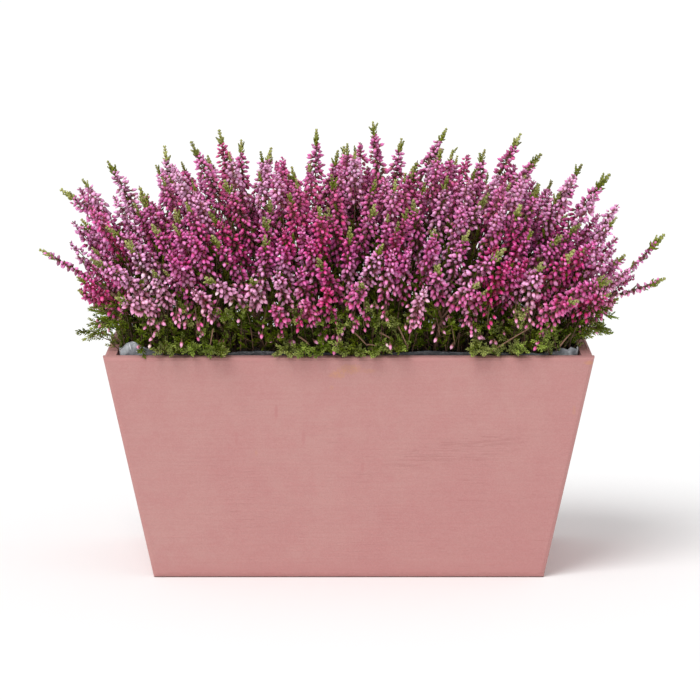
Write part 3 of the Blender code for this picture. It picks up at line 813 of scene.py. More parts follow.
@functools.cache
def streak_group():
    """Long thin streaks along X, as of a brush or of wood grain, with Along and Across per metre."""
    floats = ("Along", "Across", "Low", "High")
    group, graph, given, result = node_group("Streaks", ("Vector",), floats)
    parts = graph.add("ShaderNodeSeparateXYZ", {"Vector": given["Vector"]}).outputs
    stretched = {"X": graph.math("MULTIPLY", parts["X"], given["Along"])}
    for axis in "YZ":
        stretched[axis] = graph.math("MULTIPLY", parts[axis], given["Across"])
    cloud = graph.noise(graph.add("ShaderNodeCombineXYZ", stretched).outputs["Vector"], 1.0, 4.0, 0.6)
    graph.put(result["Mask"], graph.span(cloud, given["Low"], given["High"]))
    return group


@functools.cache
def mark_group():
    """One ragged mark on a board, 1 in its middle and 0 outside."""
    vectors = ("Vector", "Centre", "Half Size")
    group, graph, given, result = node_group("Paint mark", vectors, ("Ragged",))
    from_centre = graph.vector("SUBTRACT", given["Vector"], given["Centre"])
    distance = graph.vector("LENGTH", graph.vector("DIVIDE", from_centre, given["Half Size"]))
    rough = graph.math("SUBTRACT", graph.noise(given["Vector"], *MARK_GRAIN), 0.5)
    edge = graph.math("MULTIPLY_ADD", rough, given["Ragged"], distance)
    graph.put(result["Mask"], graph.span(edge, *MARK_EDGE))
    return group


@functools.cache
def edge_wear_group():
    """Wear near a board's top, foot and, where Sides is 1, its slanting ends, with masks for deeper paint
    towards the foot and just below the rim, and a thin broken line just above the foot.
    """
    outputs = ("Wear", "Foot", "Foot Line", "Rim")
    group, graph, given, result = node_group("Edge wear", ("Vector",), ("Width", "Sides"), outputs)
    parts = graph.add("ShaderNodeSeparateXYZ", {"Vector": given["Vector"]}).outputs
    z = parts["Z"]
    slant = (RIM_LENGTH - FOOT_LENGTH) / 2 / HEIGHT
    reach = graph.math("MULTIPLY_ADD", z, slant, FOOT_LENGTH / 2)
    aside = graph.math("SUBTRACT", reach, graph.math("ABSOLUTE", parts["X"]))
    no_sides = graph.math("SUBTRACT", 1.0, given["Sides"])
    aside = graph.math("ADD", aside, no_sides)
    below = graph.math("SUBTRACT", HEIGHT, z)
    nearest = graph.math("MINIMUM", graph.math("MINIMUM", aside, below), z)
    rough = graph.noise(given["Vector"], *WEAR_GRAIN)
    width = graph.math("MULTIPLY", given["Width"], graph.math("MULTIPLY", rough, 2.0))
    graph.put(result["Wear"], graph.span(graph.math("DIVIDE", nearest, width), 1.0, 0.0))
    graph.put(result["Foot"], graph.span(z, *FOOT_SPAN))
    from_line = graph.math("ABSOLUTE", graph.math("SUBTRACT", z, FOOT_LINE))
    broken = graph.span(rough, *FOOT_LINE_GAPS)
    line = graph.math("MULTIPLY", graph.span(from_line, *FOOT_LINE_SPAN), broken)
    graph.put(result["Foot Line"], line)
    graph.put(result["Rim"], graph.span(below, *RIM_SPAN))
    return group


def blotches(graph, where, scale, low, high, detail=4.0):
    values = {"Vector": where, "Scale": scale, "Detail": detail, "Low": low, "High": high}
    return graph.use(mottle_group(), values).outputs["Mask"]


def streaks(graph, where, along_x, across, low, high):
    values = {"Vector": where, "Along": along_x, "Across": across, "Low": low, "High": high}
    return graph.use(streak_group(), values).outputs["Mask"]


def new_material(name):
    """A material with its graph and its Principled shader."""
    material = bpy.data.materials.new(name)
    material.use_nodes = True
    shader = material.node_tree.nodes["Principled BSDF"]
    return material, Graph(material.node_tree), shader


Mark = namedtuple("Mark", "x z half_x half_z ragged strength")

# Worn spots and rubs on each board, by place on it
PEACH_MARKS = {
    "front": (
        Mark(0.001, 0.1732, 0.0125, 0.005, 1.5, 0.62),
        Mark(-0.0095, 0.1688, 0.008, 0.0042, 1.5, 0.62),
        Mark(0.016, 0.1715, 0.0085, 0.0022, 1.6, 0.4),
        Mark(-0.014, 0.158, 0.0022, 0.0024, 0.9, 0.4),
        Mark(0.1955, 0.1785, 0.006, 0.0024, 1.1, 0.75),
        Mark(0.1835, 0.139, 0.0016, 0.0052, 1.0, 0.45),
        Mark(-0.0755, 0.104, 0.0015, 0.0034, 0.8, 0.35),
    ),
    "back": (
        Mark(0.07, 0.15, 0.013, 0.005, 1.4, 0.45),
        Mark(-0.13, 0.064, 0.006, 0.003, 1.2, 0.35),
    ),
    "end": (
        Mark(0.02, 0.165, 0.009, 0.004, 1.3, 0.45),
        Mark(-0.045, 0.052, 0.005, 0.003, 1.2, 0.35),
    ),
}
RUBS = {
    "front": (
        Mark(-0.059, 0.138, 0.0016, 0.008, 0.5, 0.8),
        Mark(-0.0915, 0.116, 0.0018, 0.0078, 0.5, 0.6),
        Mark(-0.0368, 0.1165, 0.002, 0.008, 0.6, 0.6),
        Mark(0.0111, 0.092, 0.002, 0.0052, 0.7, 0.7),
        Mark(0.034, 0.083, 0.005, 0.005, 1.0, 0.35),
    ),
    "back": (
        Mark(0.102, 0.095, 0.0017, 0.009, 0.5, 0.4),
        Mark(-0.041, 0.121, 0.005, 0.004, 1.0, 0.3),
    ),
    "end": (
        Mark(-0.02, 0.108, 0.0016, 0.008, 0.5, 0.4),
    ),
}
GRAIN_FLARES = {
    "front": Mark(0.088, 0.105, 0.082, 0.015, 1.0, 1.0),
    "back": Mark(-0.06, 0.076, 0.076, 0.014, 1.0, 0.8),
    "end": Mark(0.03, 0.086, 0.05, 0.012, 1.0, 0.7),
}
FLARE_TILT = 0.2  # radians that a flare of dark grain rises along the board


Blotch = namedtuple("Blotch", "scale low high")  # blobs per metre, and where they start and are full
BROAD, PATCHES, SMALL = Blotch(9.0, 0.34, 0.68), Blotch(26.0, 0.4, 0.66), Blotch(64.0, 0.4, 0.66)
SPECKLE, SPECKLE_DETAIL, DASH_PLACES = Blotch(900.0, 0.35, 0.65), 2.0, Blotch(17.0, 0.48, 0.68)
Streak = namedtuple("Streak", "along across low high")
BRUSH, DASHES, FINE_GRAIN = (
    Streak(16.0, 520.0, 0.3, 0.72), Streak(48.0, 1050.0, 0.56, 0.72), Streak(60.0, 1300.0, 0.44, 0.64),
)
CHALK, RUBBED_EDGE = (0.62, 0.375, 0.35), (0.585, 0.32, 0.295)
BROAD_SHARE, PATCH_SHARE, SMALL_SHARE, BRUSH_SHARE, CHALK_SHARE = 0.75, 0.45, 0.42, 0.2, 0.16
DASH_SHARE, FINE_SHARE = 0.23, 0.25
CHIPPED = (0.7, 0.4)  # how much the speckle breaks up a worn spot, and how much of it is plain
WEAR_WIDTH = 0.0022
FOOT_SHARE, RIM_SHARE, FOOT_LINE_SHARE, WEAR_SHARE = 0.55, 0.3, 0.22, 0.35
PAINT_ROUGHNESS = (0.62, 0.8)
BRUSH_RELIEF, DASH_RELIEF, SPECKLE_RELIEF = 0.35, -0.35, 0.25


def mark_mask(graph, where, spot):
    values = {
        "Vector": graph.vector("MULTIPLY", where, (1.0, 0.0, 1.0)),
        "Centre": (spot.x, 0.0, spot.z),
        "Half Size": (spot.half_x, 1.0, spot.half_z),
        "Ragged": spot.ragged,
    }
    return graph.math("MULTIPLY", graph.use(mark_group(), values).outputs["Mask"], spot.strength)


def flare_mask(graph, where, flare):
    """The place of a flare of dark grain, which rises along the board."""
    tilted = graph.turned(where, (0.0, FLARE_TILT, 0.0))
    cos_tilt, sin_tilt = math.cos(FLARE_TILT), math.sin(FLARE_TILT)
    x = flare.x * cos_tilt + flare.z * sin_tilt
    z = -flare.x * sin_tilt + flare.z * cos_tilt
    return mark_mask(graph, tilted, flare._replace(x=x, z=z))


def paint_material(board, look):
    """Chalky brushed paint over wood grain, for the front, the back or an end board."""
    material, graph, shader = new_material(f"dusty pink paint {board}")
    own = graph.own_place()
    where = graph.turned(own, (0.0, 0.0, math.pi / 2)) if board == "end" else own

    brush = streaks(graph, where, *BRUSH)
    speckle = blotches(graph, where, *SPECKLE, SPECKLE_DETAIL)
    clouds = (
        (BROAD, BROAD_SHARE, look.deep_paint), (PATCHES, PATCH_SHARE, look.paint),
        (SMALL, SMALL_SHARE, look.deep_paint),
    )
    paint = look.paint
    for cloud, share, tint in clouds:
        paint = graph.coat(blotches(graph, where, *cloud), share, paint, tint)
    paint = graph.coat(brush, BRUSH_SHARE, paint, look.deep_paint)
    paint = graph.coat(speckle, CHALK_SHARE, paint, CHALK)

    dash_places = blotches(graph, where, *DASH_PLACES)
    dashes = graph.math("MULTIPLY", streaks(graph, where, *DASHES), dash_places)
    fine_places = flare_mask(graph, where, GRAIN_FLARES[board])
    fine = graph.math("MULTIPLY", streaks(graph, where, *FINE_GRAIN), fine_places)
    dark_dashes = graph.math("MULTIPLY", dashes, DASH_SHARE)
    dark = graph.math("MAXIMUM", dark_dashes, graph.math("MULTIPLY", fine, FINE_SHARE))
    paint = graph.blend(dark, paint, look.grain)

    chipped = graph.math("MULTIPLY_ADD", speckle, *CHIPPED)
    for peach in PEACH_MARKS[board]:
        chips = graph.math("MULTIPLY", mark_mask(graph, where, peach), chipped)
        paint = graph.blend(chips, paint, look.bare)
    for rub in RUBS[board]:
        paint = graph.blend(mark_mask(graph, where, rub), paint, look.deep_paint)

    wear_values = {"Vector": own, "Width": WEAR_WIDTH, "Sides": 0.0 if board == "end" else 1.0}
    wear = graph.use(edge_wear_group(), wear_values).outputs
    paint = graph.coat(wear["Foot"], FOOT_SHARE, paint, look.deep_paint)
    paint = graph.coat(wear["Rim"], RIM_SHARE, paint, look.deep_paint)
    paint = graph.coat(wear["Foot Line"], FOOT_LINE_SHARE, paint, look.grain)
    paint = graph.coat(wear["Wear"], WEAR_SHARE, paint, RUBBED_EDGE)

    graph.put(shader.inputs["Base Color"], paint)
    graph.put(shader.inputs["Roughness"], graph.span(brush, 0.0, 1.0, *PAINT_ROUGHNESS))
    sunk = graph.math("MULTIPLY", dashes, DASH_RELIEF)
    relief = graph.math("ADD", graph.math("MULTIPLY", brush, BRUSH_RELIEF), sunk)
    relief = graph.math("MULTIPLY_ADD", speckle, SPECKLE_RELIEF, relief)
    graph.put(shader.inputs["Normal"], graph.raised(relief, look.grain_depth))
    shader.inputs["Specular IOR Level"].default_value = 0.3
    return material


HIGHLIT_FOLDS = (  # painted highlights along folds on the film's front: from one place to another in X and Z, and half the width
    ((-0.1748, 0.1925), (-0.1655, 0.1832), 0.001), ((-0.18, 0.194), (-0.177, 0.185), 0.0006),
    ((-0.179, 0.1942), (-0.172, 0.1915), 0.0006), ((-0.174, 0.185), (-0.1715, 0.187), 0.0006),
    ((0.169, 0.1895), (0.174, 0.188), 0.0007), ((0.164, 0.185), (0.169, 0.189), 0.0006),
    ((0.151, 0.188), (0.154, 0.184), 0.0006),
)
# how far the painted fold highlights reach in depth, where their edges fade, and how strong they are
FOLD_DEPTH, FOLD_EDGE, FOLD_HIGHLIGHT_SHARE = 0.012, (1.0, 0.2), 0.85
FILM_CREASES, CREASE_DETAIL = Blotch(150.0, 0.42, 0.62), 5.0
FILM_TONES, FILM_TONE_DETAIL = Blotch(60.0, 0.4, 0.64), 3.0
FILM_ENDS = (0.14, 0.172)  # the distance from the middle over which the film gets silvery, with painted highlights
SILVER_AND_HIGHLIGHT = (0.8, 0.2)  # how much of that changes with its tones, and how much is even
# painted highlights: on the creases, weak in the middle and strong at the ends, and along the folds
CREASE_HIGHLIGHT_SHARES, CREASE_HIGHLIGHT, FOLD_HIGHLIGHT = (0.05, 0.3), (0.8, 0.84, 0.88), (0.88, 0.9, 0.92)
FILM_ROUGHNESS, FILM_RELIEF = (0.22, 0.4), 0.0003


@functools.cache
def fold_highlight_group():
    """A painted highlight along a thin fold between two places, 1 along its middle and 0 outside."""
    vectors = ("Vector", "Middle", "Half Size")
    group, graph, given, result = node_group("Film fold", vectors, ("Turn",))
    from_middle = graph.vector("SUBTRACT", given["Vector"], given["Middle"])
    turn = graph.add("ShaderNodeCombineXYZ", {"Y": given["Turn"]}).outputs["Vector"]
    values = {"Vector": from_middle, "Rotation": turn}
    turned = graph.add("ShaderNodeVectorRotate", values, rotation_type="EULER_XYZ").outputs["Vector"]
    distance = graph.vector("LENGTH", graph.vector("DIVIDE", turned, given["Half Size"]))
    graph.put(result["Mask"], graph.span(distance, *FOLD_EDGE))
    return group


def fold_highlight_mask(graph, where):
    """All the painted fold highlights in one mask."""
    mask = 0.0
    for (x1, z1), (x2, z2), half_width in HIGHLIT_FOLDS:
        values = {
            "Vector": where,
            "Middle": ((x1 + x2) / 2, -DEPTH / 2 + BOARD, (z1 + z2) / 2),
            "Turn": math.atan2(z2 - z1, x2 - x1),
            "Half Size": (math.hypot(x2 - x1, z2 - z1) / 2, FOLD_DEPTH, half_width),
        }
        mask = graph.math("MAXIMUM", mask, graph.use(fold_highlight_group(), values).outputs["Mask"])
    return mask


def film_material(look):
    """Dark glossy film, silvery and with painted highlights on its creases and folds where it is bunched at
    the ends.
    """
    material, graph, shader = new_material("grey film")
    where = graph.own_place()
    crease = blotches(graph, where, *FILM_CREASES, CREASE_DETAIL)
    tone = blotches(graph, where, *FILM_TONES, FILM_TONE_DETAIL)
    x = graph.add("ShaderNodeSeparateXYZ", {"Vector": where}).outputs["X"]
    ends = graph.span(graph.math("ABSOLUTE", x), *FILM_ENDS)
    # silvery film with painted highlights towards the ends
    silver_and_highlight = graph.math("MULTIPLY", ends, graph.math("MULTIPLY_ADD", tone, *SILVER_AND_HIGHLIGHT))
    grey = graph.blend(silver_and_highlight, look.grey, look.silver_and_highlight)
    # painted highlights on the creases and along the folds
    grey = graph.coat(crease, graph.span(ends, 0.0, 1.0, *CREASE_HIGHLIGHT_SHARES), grey, CREASE_HIGHLIGHT)
    grey = graph.coat(fold_highlight_mask(graph, where), FOLD_HIGHLIGHT_SHARE, grey, FOLD_HIGHLIGHT)
    graph.put(shader.inputs["Base Color"], grey)
    graph.put(shader.inputs["Roughness"], graph.span(tone, 0.0, 1.0, *FILM_ROUGHNESS))
    graph.put(shader.inputs["Normal"], graph.raised(crease, FILM_RELIEF))
    shader.inputs["Specular IOR Level"].default_value = 0.45
    return material


SOIL_LUMPS, LUMP_DETAIL, FIBRES = Blotch(210.0, 0.35, 0.68), 5.0, Streak(240.0, 1500.0, 0.6, 0.7)
FIBRE_SHARE, FIBRE_TINT = 0.5, (0.16, 0.1, 0.055)
SOIL_ROUGHNESS, SOIL_RELIEF = (0.75, 0.95), 0.0012


def soil_material(look):
    """Damp dark soil with pale fibres."""
    material, graph, shader = new_material("dark soil")
    where = graph.own_place()
    lumps = blotches(graph, where, *SOIL_LUMPS, LUMP_DETAIL)
    fibres = streaks(graph, where, *FIBRES)
    earth = graph.blend(lumps, look.dark, look.light)
    earth = graph.coat(fibres, FIBRE_SHARE, earth, FIBRE_TINT)
    graph.put(shader.inputs["Base Color"], earth)
    graph.put(shader.inputs["Roughness"], graph.span(lumps, 0.0, 1.0, *SOIL_ROUGHNESS))
    graph.put(shader.inputs["Normal"], graph.raised(lumps, SOIL_RELIEF))
    return material


CREST_SPAN = (HEIGHT + 0.08, HEIGHT + 0.135)  # over which the buds' calyxes and the bark get paler
LOW_SPAN = (HEIGHT + 0.075, HEIGHT + 0.035)  # over which, downward, the buds get warmer
LOW_TINT, LOW_SHARE = (1.0, 0.95, 0.82), 0.8
PETAL_SPANS = (0.0, 0.5), (0.5, 1.0), (1.2, 1.75)  # of the tone: to mauve, to pale and to near white
# near-white buds, partly painted highlights; a bud's paler tip; the dark painted shade of the innermost buds
NEAR_WHITE_AND_HIGHLIGHT, PETAL_TIP, INNER_SHADE_TINT = (0.95, 0.76, 0.87), (0.92, 0.58, 0.82), (0.33, 0.058, 0.04)
# the calyx colour at a bud's base, low down and in the crest; low down it is partly painted shade between
# the buds
LOW_CALYX_AND_SHADE, CREST_CALYX = (0.205, 0.036, 0.016), (0.36, 0.175, 0.12)
CREST_PETAL, CREST_SHARE = (0.6, 0.385, 0.47), 0.16
TIP_SPAN, CALYX_AND_SHADE_SPAN = (0.4, 1.0, 0.0, 0.28), (0.54, 0.14, 0.0, 0.88)  # along a bud, and how strongly; the calyx colour, partly painted shade, reaches about half way up the bud
INNER_SHADE_SPAN, BUD_SHADE_SCALE = (0.45, 0.0, 0.0, 0.5), (0.0, 1.0, 0.54, 1.33)  # painted shade by its shade number, and how strongly it darkens or lightens a bud
VEINS, VEIN_DETAIL, VEIN_SHARE = 1400.0, 2.0, 0.25


def bud_material(look):
    """Closed papery buds in three tones, deeper at the base and paler at the tip. The deep base is partly
    painted shade, and the shade number paints shade on the inner buds.
    """
    material, graph, shader = new_material("heather buds")
    along_bud, tone, shade = (graph.plant_number(name) for name in PLANT_NUMBERS)
    height = graph.own_height()
    veins = graph.noise(graph.own_place(), VEINS, VEIN_DETAIL)
    tone = graph.math("MULTIPLY_ADD", graph.math("SUBTRACT", veins, 0.5), VEIN_SHARE, tone)
    petal = look.magenta
    # the three tones and then near white, which is partly painted highlight
    for span, tint in zip(PETAL_SPANS, (look.mauve, look.pale, NEAR_WHITE_AND_HIGHLIGHT)):
        petal = graph.blend(graph.span(tone, *span), petal, tint)
    petal = graph.blend(graph.span(along_bud, *TIP_SPAN), petal, PETAL_TIP)
    crest = graph.span(height, *CREST_SPAN)
    petal = graph.coat(crest, CREST_SHARE, petal, CREST_PETAL)
    # the calyx colour at the base, partly painted shade between the buds
    calyx = graph.blend(crest, LOW_CALYX_AND_SHADE, CREST_CALYX)
    petal = graph.blend(graph.span(along_bud, *CALYX_AND_SHADE_SPAN), petal, calyx)
    # painted shade: the innermost buds turn a dark red-brown
    petal = graph.blend(graph.span(shade, *INNER_SHADE_SPAN), petal, INNER_SHADE_TINT)
    petal = graph.blend(graph.span(height, *LOW_SPAN, 0.0, LOW_SHARE), petal, LOW_TINT, "MULTIPLY")
    # painted shade and light: the shade number darkens the inner buds and lightens the outer ones
    graph.put(shader.inputs["Base Color"], graph.scaled(petal, graph.span(shade, *BUD_SHADE_SCALE)))
    graph.put(shader.inputs["Roughness"], graph.span(veins, 0.3, 0.7, 0.48, 0.62))
    shader.inputs["Specular IOR Level"].default_value = 0.13
    return material


LEAF_GRAIN = 700.0
AGE_ALONG, AGE_GRAIN = 0.45, 0.5  # how much younger a leaf is at its twig's end, and in spots
LEAF_SPANS = (0.05, 0.8), (0.8, 1.35)  # of the age, from old leaves to full growth, and to young ones
FRESH_PLACES, FRESH_SPAN = (34.0, 1.0), (0.42, 0.58, 0.35, 0.95)
FRESH_HEIGHT, LEAF_LIGHT = (HEIGHT + 0.06, HEIGHT + 0.025), (0.0, 1.0, 0.65, 1.35)


def leaf_material(look):
    """Scale leaves, dark and olive low on a shoot, bright at its tip."""
    material, graph, shader = new_material("heather leaves")
    along_leaf, tone, shade = (graph.plant_number(name) for name in PLANT_NUMBERS)
    grain = graph.noise(graph.own_place(), LEAF_GRAIN, 3.0)
    youth = graph.math("MULTIPLY_ADD", along_leaf, AGE_ALONG, tone)
    youth = graph.math("MULTIPLY_ADD", graph.math("SUBTRACT", grain, 0.5), AGE_GRAIN, youth)
    leaf = look.old_leaf
    for span, tint in zip(LEAF_SPANS, (look.leaf, look.young_leaf)):
        leaf = graph.blend(graph.span(youth, *span), leaf, tint)
    patches = graph.span(graph.noise(graph.own_place(), *FRESH_PLACES), *FRESH_SPAN)
    low = graph.span(graph.own_height(), *FRESH_HEIGHT)
    leaf = graph.blend(graph.math("MULTIPLY", patches, low), leaf, look.fresh_leaf, "MULTIPLY")
    graph.put(shader.inputs["Base Color"], graph.scaled(leaf, graph.span(shade, *LEAF_LIGHT)))
    graph.put(shader.inputs["Roughness"], graph.span(grain, 0.3, 0.7, 0.56, 0.7))
    shader.inputs["Specular IOR Level"].default_value = 0.11
    return material


CRACKS, CRACK_TINT, CRACK_RELIEF = Streak(130.0, 1500.0, 0.36, 0.66), (0.26, 0.15, 0.1), 0.0003
CREST_BARK, CREST_BARK_SHARE, BARK_LIGHT = (0.34, 0.18, 0.13), 0.65, (0.0, 1.0, 0.6, 1.25)


def bark_material(look):
    """Thin brown bark, split along the stem."""
    material, graph, shader = new_material("heather bark")
    upright = graph.turned(graph.own_place(), (0.0, math.pi / 2, 0.0))
    cracks = streaks(graph, upright, *CRACKS)
    bark = graph.blend(cracks, look.bark, CRACK_TINT)
    crest = graph.span(graph.own_height(), *CREST_SPAN, 0.0, CREST_BARK_SHARE)
    bark = graph.blend(crest, bark, CREST_BARK)
    light = graph.span(graph.plant_number("shade"), *BARK_LIGHT)
    graph.put(shader.inputs["Base Color"], graph.scaled(bark, light))
    graph.put(shader.inputs["Roughness"], graph.span(cracks, 0.0, 1.0, 0.7, 0.88))
    graph.put(shader.inputs["Normal"], graph.raised(cracks, CRACK_RELIEF))
    return material


def plant_materials(look):
    """The buds', leaves' and bark's materials, made once for all the sprays."""
    makers = {
        "heather buds": bud_material, "heather leaves": leaf_material, "heather bark": bark_material,
    }
    return [bpy.data.materials.get(name) or make(look) for name, make in makers.items()]


# Boards, film and soil


def raise_rings(shape, edges, count):
    """Extrudes a loop of edges upward one unit at a time, and returns the last loop."""
    for _ in range(count):
        grown = bmesh.ops.extrude_edge_only(shape, edges=edges)["geom"]
        raised = {item for item in grown if isinstance(item, bmesh.types.BMVert)}
        edges = [
            item for item in grown
            if isinstance(item, bmesh.types.BMEdge) and raised.issuperset(item.verts)
        ]
        bmesh.ops.translate(shape, verts=list(raised), vec=(0.0, 0.0, 1.0))
    return edges


def paint_boards(look):
    """Gives the frame's five boards their paint."""
    front, back, end = (paint_material(board, look) for board in ("front", "back", "end"))
    coats = {
        "front_panel": front, "back_panel": back, "bottom_board": back,
        "left_end_panel": end, "right_end_panel": end,
    }
    for name, coat in coats.items():
        board = frame["nodes"][name]
        board.data.materials.clear()
        board.data.materials.append(coat)


FILM_STATIONS = (100, 44)
FILM_LEVELS = (0.35, 0.7, 0.86)  # of the film's wall up to the soil, as shares of the rim's height
FILM_FREE_LEVELS = 8  # rings from the soil up to the film's lip
FILM_UNDER_SOIL = 0.004  # how far under the soil's edge it comes free
FILM_SOONER = 1.5  # how much sooner than its lip it reaches the rim
FILM_LOWER = 0.001  # how much lower the finer film lies than the frame's liner
BUNCH_POWER, CORNER_TURN = 8, 12  # how sharply its bunches die away from a corner, and it turns there
LEFT_TENT = (-0.179, 0.02, 0.0075)  # where the film stands up along the front, its slope and its height
CRUMPLES = ((0.17, 0.009, 0.003), (0.15, 0.0045, 0.002))  # place, half width and height in front
CALM_LEFT, CALM_RIGHT, CALM_EDGE = 0.85, (0.6, 0.14), 0.01  # where it lies smoother along the front
PLEATS, PLEAT_SHIFT = 520.0, 3.0
CREASE_SCALE, CREASE_UPRIGHT, FINE_SCALE = 75.0, 1.6, 210.0
CREASE_DEPTHS, BUNCH_DEPTHS = (0.25, 1.3, 0.3), (0.35, 0.65)
CORNER_DROP, CORNER_PLEAT, LIP_WAVE, LIP_FINE = 0.8, 0.004, (0.0012, 60.0), 0.0006


def film_ring(level):
    """The height of one of the film's rings, and how free of the boards it is."""
    fixed = len(FILM_LEVELS) + 1
    if level == 0:
        return BOARD + GAP, 0.0
    if level < fixed:
        return HEIGHT * FILM_LEVELS[level - 1], 0.0
    free = (level - fixed) / (FILM_FREE_LEVELS - 1)
    low = HEIGHT - SOIL_DROP - FILM_UNDER_SOIL
    return mix(low, HEIGHT, min(1.0, free * FILM_SOONER)), free


def film_noise(place, scale):
    return noise.noise(place * scale, noise_basis="PERLIN_ORIGINAL")


def film_place(share_x, share_y, level, look):
    """Where a vert of the film goes: against the boards below the soil, creased and drawn in above it."""
    height, free = film_ring(level)
    half_x, half_y = film_half_size(height)
    place = Vector((share_x * half_x, share_y * half_y, height))
    corner = abs(share_x * share_y) ** BUNCH_POWER
    front = held(-4.0 * share_y - 3.0)
    tent_x, tent_slope, tent_rise = LEFT_TENT
    tent = front * held(1.0 - abs(place.x - tent_x) / tent_slope)
    calm_left = CALM_LEFT * held((tent_x + tent_slope + CALM_EDGE - place.x) / CALM_EDGE)
    calm_right = CALM_RIGHT[0] * held((place.x - CALM_RIGHT[1]) / CALM_EDGE)
    calm = 1.0 - front * max(calm_left, calm_right)
    around = share_x * half_x - share_y * half_y
    pleat = 0.5 + 0.5 * math.sin(around * PLEATS + PLEAT_SHIFT * share_y) * calm
    crease = abs(film_noise(Vector((place.x, place.y, place.z * CREASE_UPRIGHT)), CREASE_SCALE)) * calm
    fine = film_noise(place, FINE_SCALE) * calm

    even, creased, wrinkled = CREASE_DEPTHS
    crumple = look.crumple * (even + creased * crease + wrinkled * fine)
    bunch = corner * look.bunch * (BUNCH_DEPTHS[0] + BUNCH_DEPTHS[1] * pleat)
    inward = max(0.0, free * (crumple + bunch))
    toward = [-math.copysign(abs(share) ** CORNER_TURN, share) for share in (share_x, share_y)]
    place += Vector((*toward, 0.0)) * inward

    rise = held(free * FILM_SOONER - 0.5)
    gather = sum(height * math.exp(-(((place.x - x) / half) ** 2)) for x, half, height in CRUMPLES) * front
    right = front * held(share_x)
    bunched = abs(share_x * share_y) ** FILM_CORNER_POWER
    drawn_down = FILM_CORNER * (bunched - corner ** 2 * (1.0 - CORNER_DROP * right))
    lip = film_lip(share_x, share_y) - drawn_down - FILM_LOWER
    lip += corner * CORNER_PLEAT * (pleat - 0.5) + gather * (0.8 + fine)
    lip += max(0.0, tent * tent_rise - corner ** 2 * CORNER_PLEAT)
    wave = LIP_WAVE[0] * calm * noise.noise(Vector((around * LIP_WAVE[1], 3.0, share_y)))
    place.z += rise * (lip + wave) + free * LIP_FINE * fine
    place.y += rise * gather * (0.5 + crease)
    return place


def make_film(look):
    """The folded film, from a flat loop raised ring by ring and then laid against the boards."""
    shape = bmesh.new()
    stations_x, stations_y = FILM_STATIONS
    bmesh.ops.create_grid(shape, x_segments=stations_x, y_segments=stations_y, size=1.0)
    bmesh.ops.dissolve_faces(shape, faces=shape.faces[:], use_verts=False)
    levels = len(FILM_LEVELS) + FILM_FREE_LEVELS
    raise_rings(shape, [edge for edge in shape.edges if edge.is_boundary], levels)
    for vert in shape.verts:
        share_x, share_y, level = vert.co
        vert.co = film_place(share_x, share_y, round(level), look)
    bmesh.ops.recalc_face_normals(shape, faces=shape.faces)
    floor = min(shape.faces, key=lambda face: face.calc_center_median().z)
    if floor.normal.z > 0.0:
        bmesh.ops.reverse_faces(shape, faces=shape.faces)
    for face in shape.faces:
        face.smooth = face is not floor
    film = add_piece("film_lining", shape, [film_material(look)], ["liner"])
    wall = film.modifiers.new("film thickness", "SOLIDIFY")
    wall.thickness = look.thickness
    wall.offset = -1.0


SOIL_CUTS = (80, 34)
CLODS = ((70.0, 0.0016), (210.0, 0.0009))  # scale and height
SOIL_MARGIN = 0.004  # along the film, where the clods die away and no crumbs lie
CRUMB_SIZES, CRUMB_RAISED = (0.35, 1.0), 0.15
BIG_CRUMBS = (0.08, 1.8)  # the share of them that are larger, and how much
CRUMB_LENGTHS, CRUMB_HEIGHTS = (0.8, 1.7), (0.5, 0.9)


def soil_surface(x, y):
    """The soil's height with its clods."""
    clods = sum(
        noise.noise(Vector((x, y, layer)) * scale) * height
        for layer, (scale, height) in enumerate(CLODS)
    )
    half_x, half_y = soil_half_size(HEIGHT)
    margin = min(half_x - abs(x), half_y - abs(y))
    return soil_height(x, y) + clods * held(margin / SOIL_MARGIN)


def make_soil(look):
    """The soil body with clods on top, and loose crumbs half sunk in it."""
    draw = random.Random(STREAM["soil"])
    shape = bmesh.new()
    cuts_x, cuts_y = SOIL_CUTS
    bmesh.ops.create_grid(shape, x_segments=cuts_x, y_segments=cuts_y, size=1.0)
    edges = raise_rings(shape, [edge for edge in shape.edges if edge.is_boundary], 1)
    bmesh.ops.contextual_create(shape, geom=edges)
    floor_z = BOARD + FILM + 2 * GAP
    for vert in shape.verts:
        share_x, share_y, below = vert.co
        z = floor_z if below > 0.5 else HEIGHT - SOIL_DROP
        half_x, half_y = soil_half_size(z)
        x, y = share_x * half_x, share_y * half_y
        vert.co = (x, y, floor_z if below > 0.5 else soil_surface(x, y))
    bmesh.ops.recalc_face_normals(shape, faces=shape.faces)
    crumb = bmesh.new()
    bmesh.ops.create_icosphere(crumb, subdivisions=1, radius=1.0)
    pattern = Pattern(crumb)
    half_x, half_y = soil_half_size(HEIGHT)
    for _ in range(look.crumbs):
        x = draw.uniform(-1.0, 1.0) * (half_x - SOIL_MARGIN)
        y = draw.uniform(-1.0, 1.0) * (half_y - SOIL_MARGIN)
        size = look.crumb_size * draw.uniform(*CRUMB_SIZES)
        size *= BIG_CRUMBS[1] if draw.random() < BIG_CRUMBS[0] else 1.0
        crumb_length, crumb_height = size * draw.uniform(*CRUMB_LENGTHS), size * draw.uniform(*CRUMB_HEIGHTS)
        stretch = Matrix.Diagonal((crumb_length, size, crumb_height, 1.0))
        turn = Matrix.Rotation(draw.uniform(0.0, 2.0 * math.pi), 4, "Z")
        place = Vector((x, y, soil_surface(x, y) + size * CRUMB_RAISED))
        pattern.copy_to(shape, Matrix.Translation(place) @ turn @ stretch)
    for face in shape.faces:
        face.smooth = True
    add_piece("soil_bed", shape, [soil_material(look)], ["soil"])


# Patterns for what is repeated


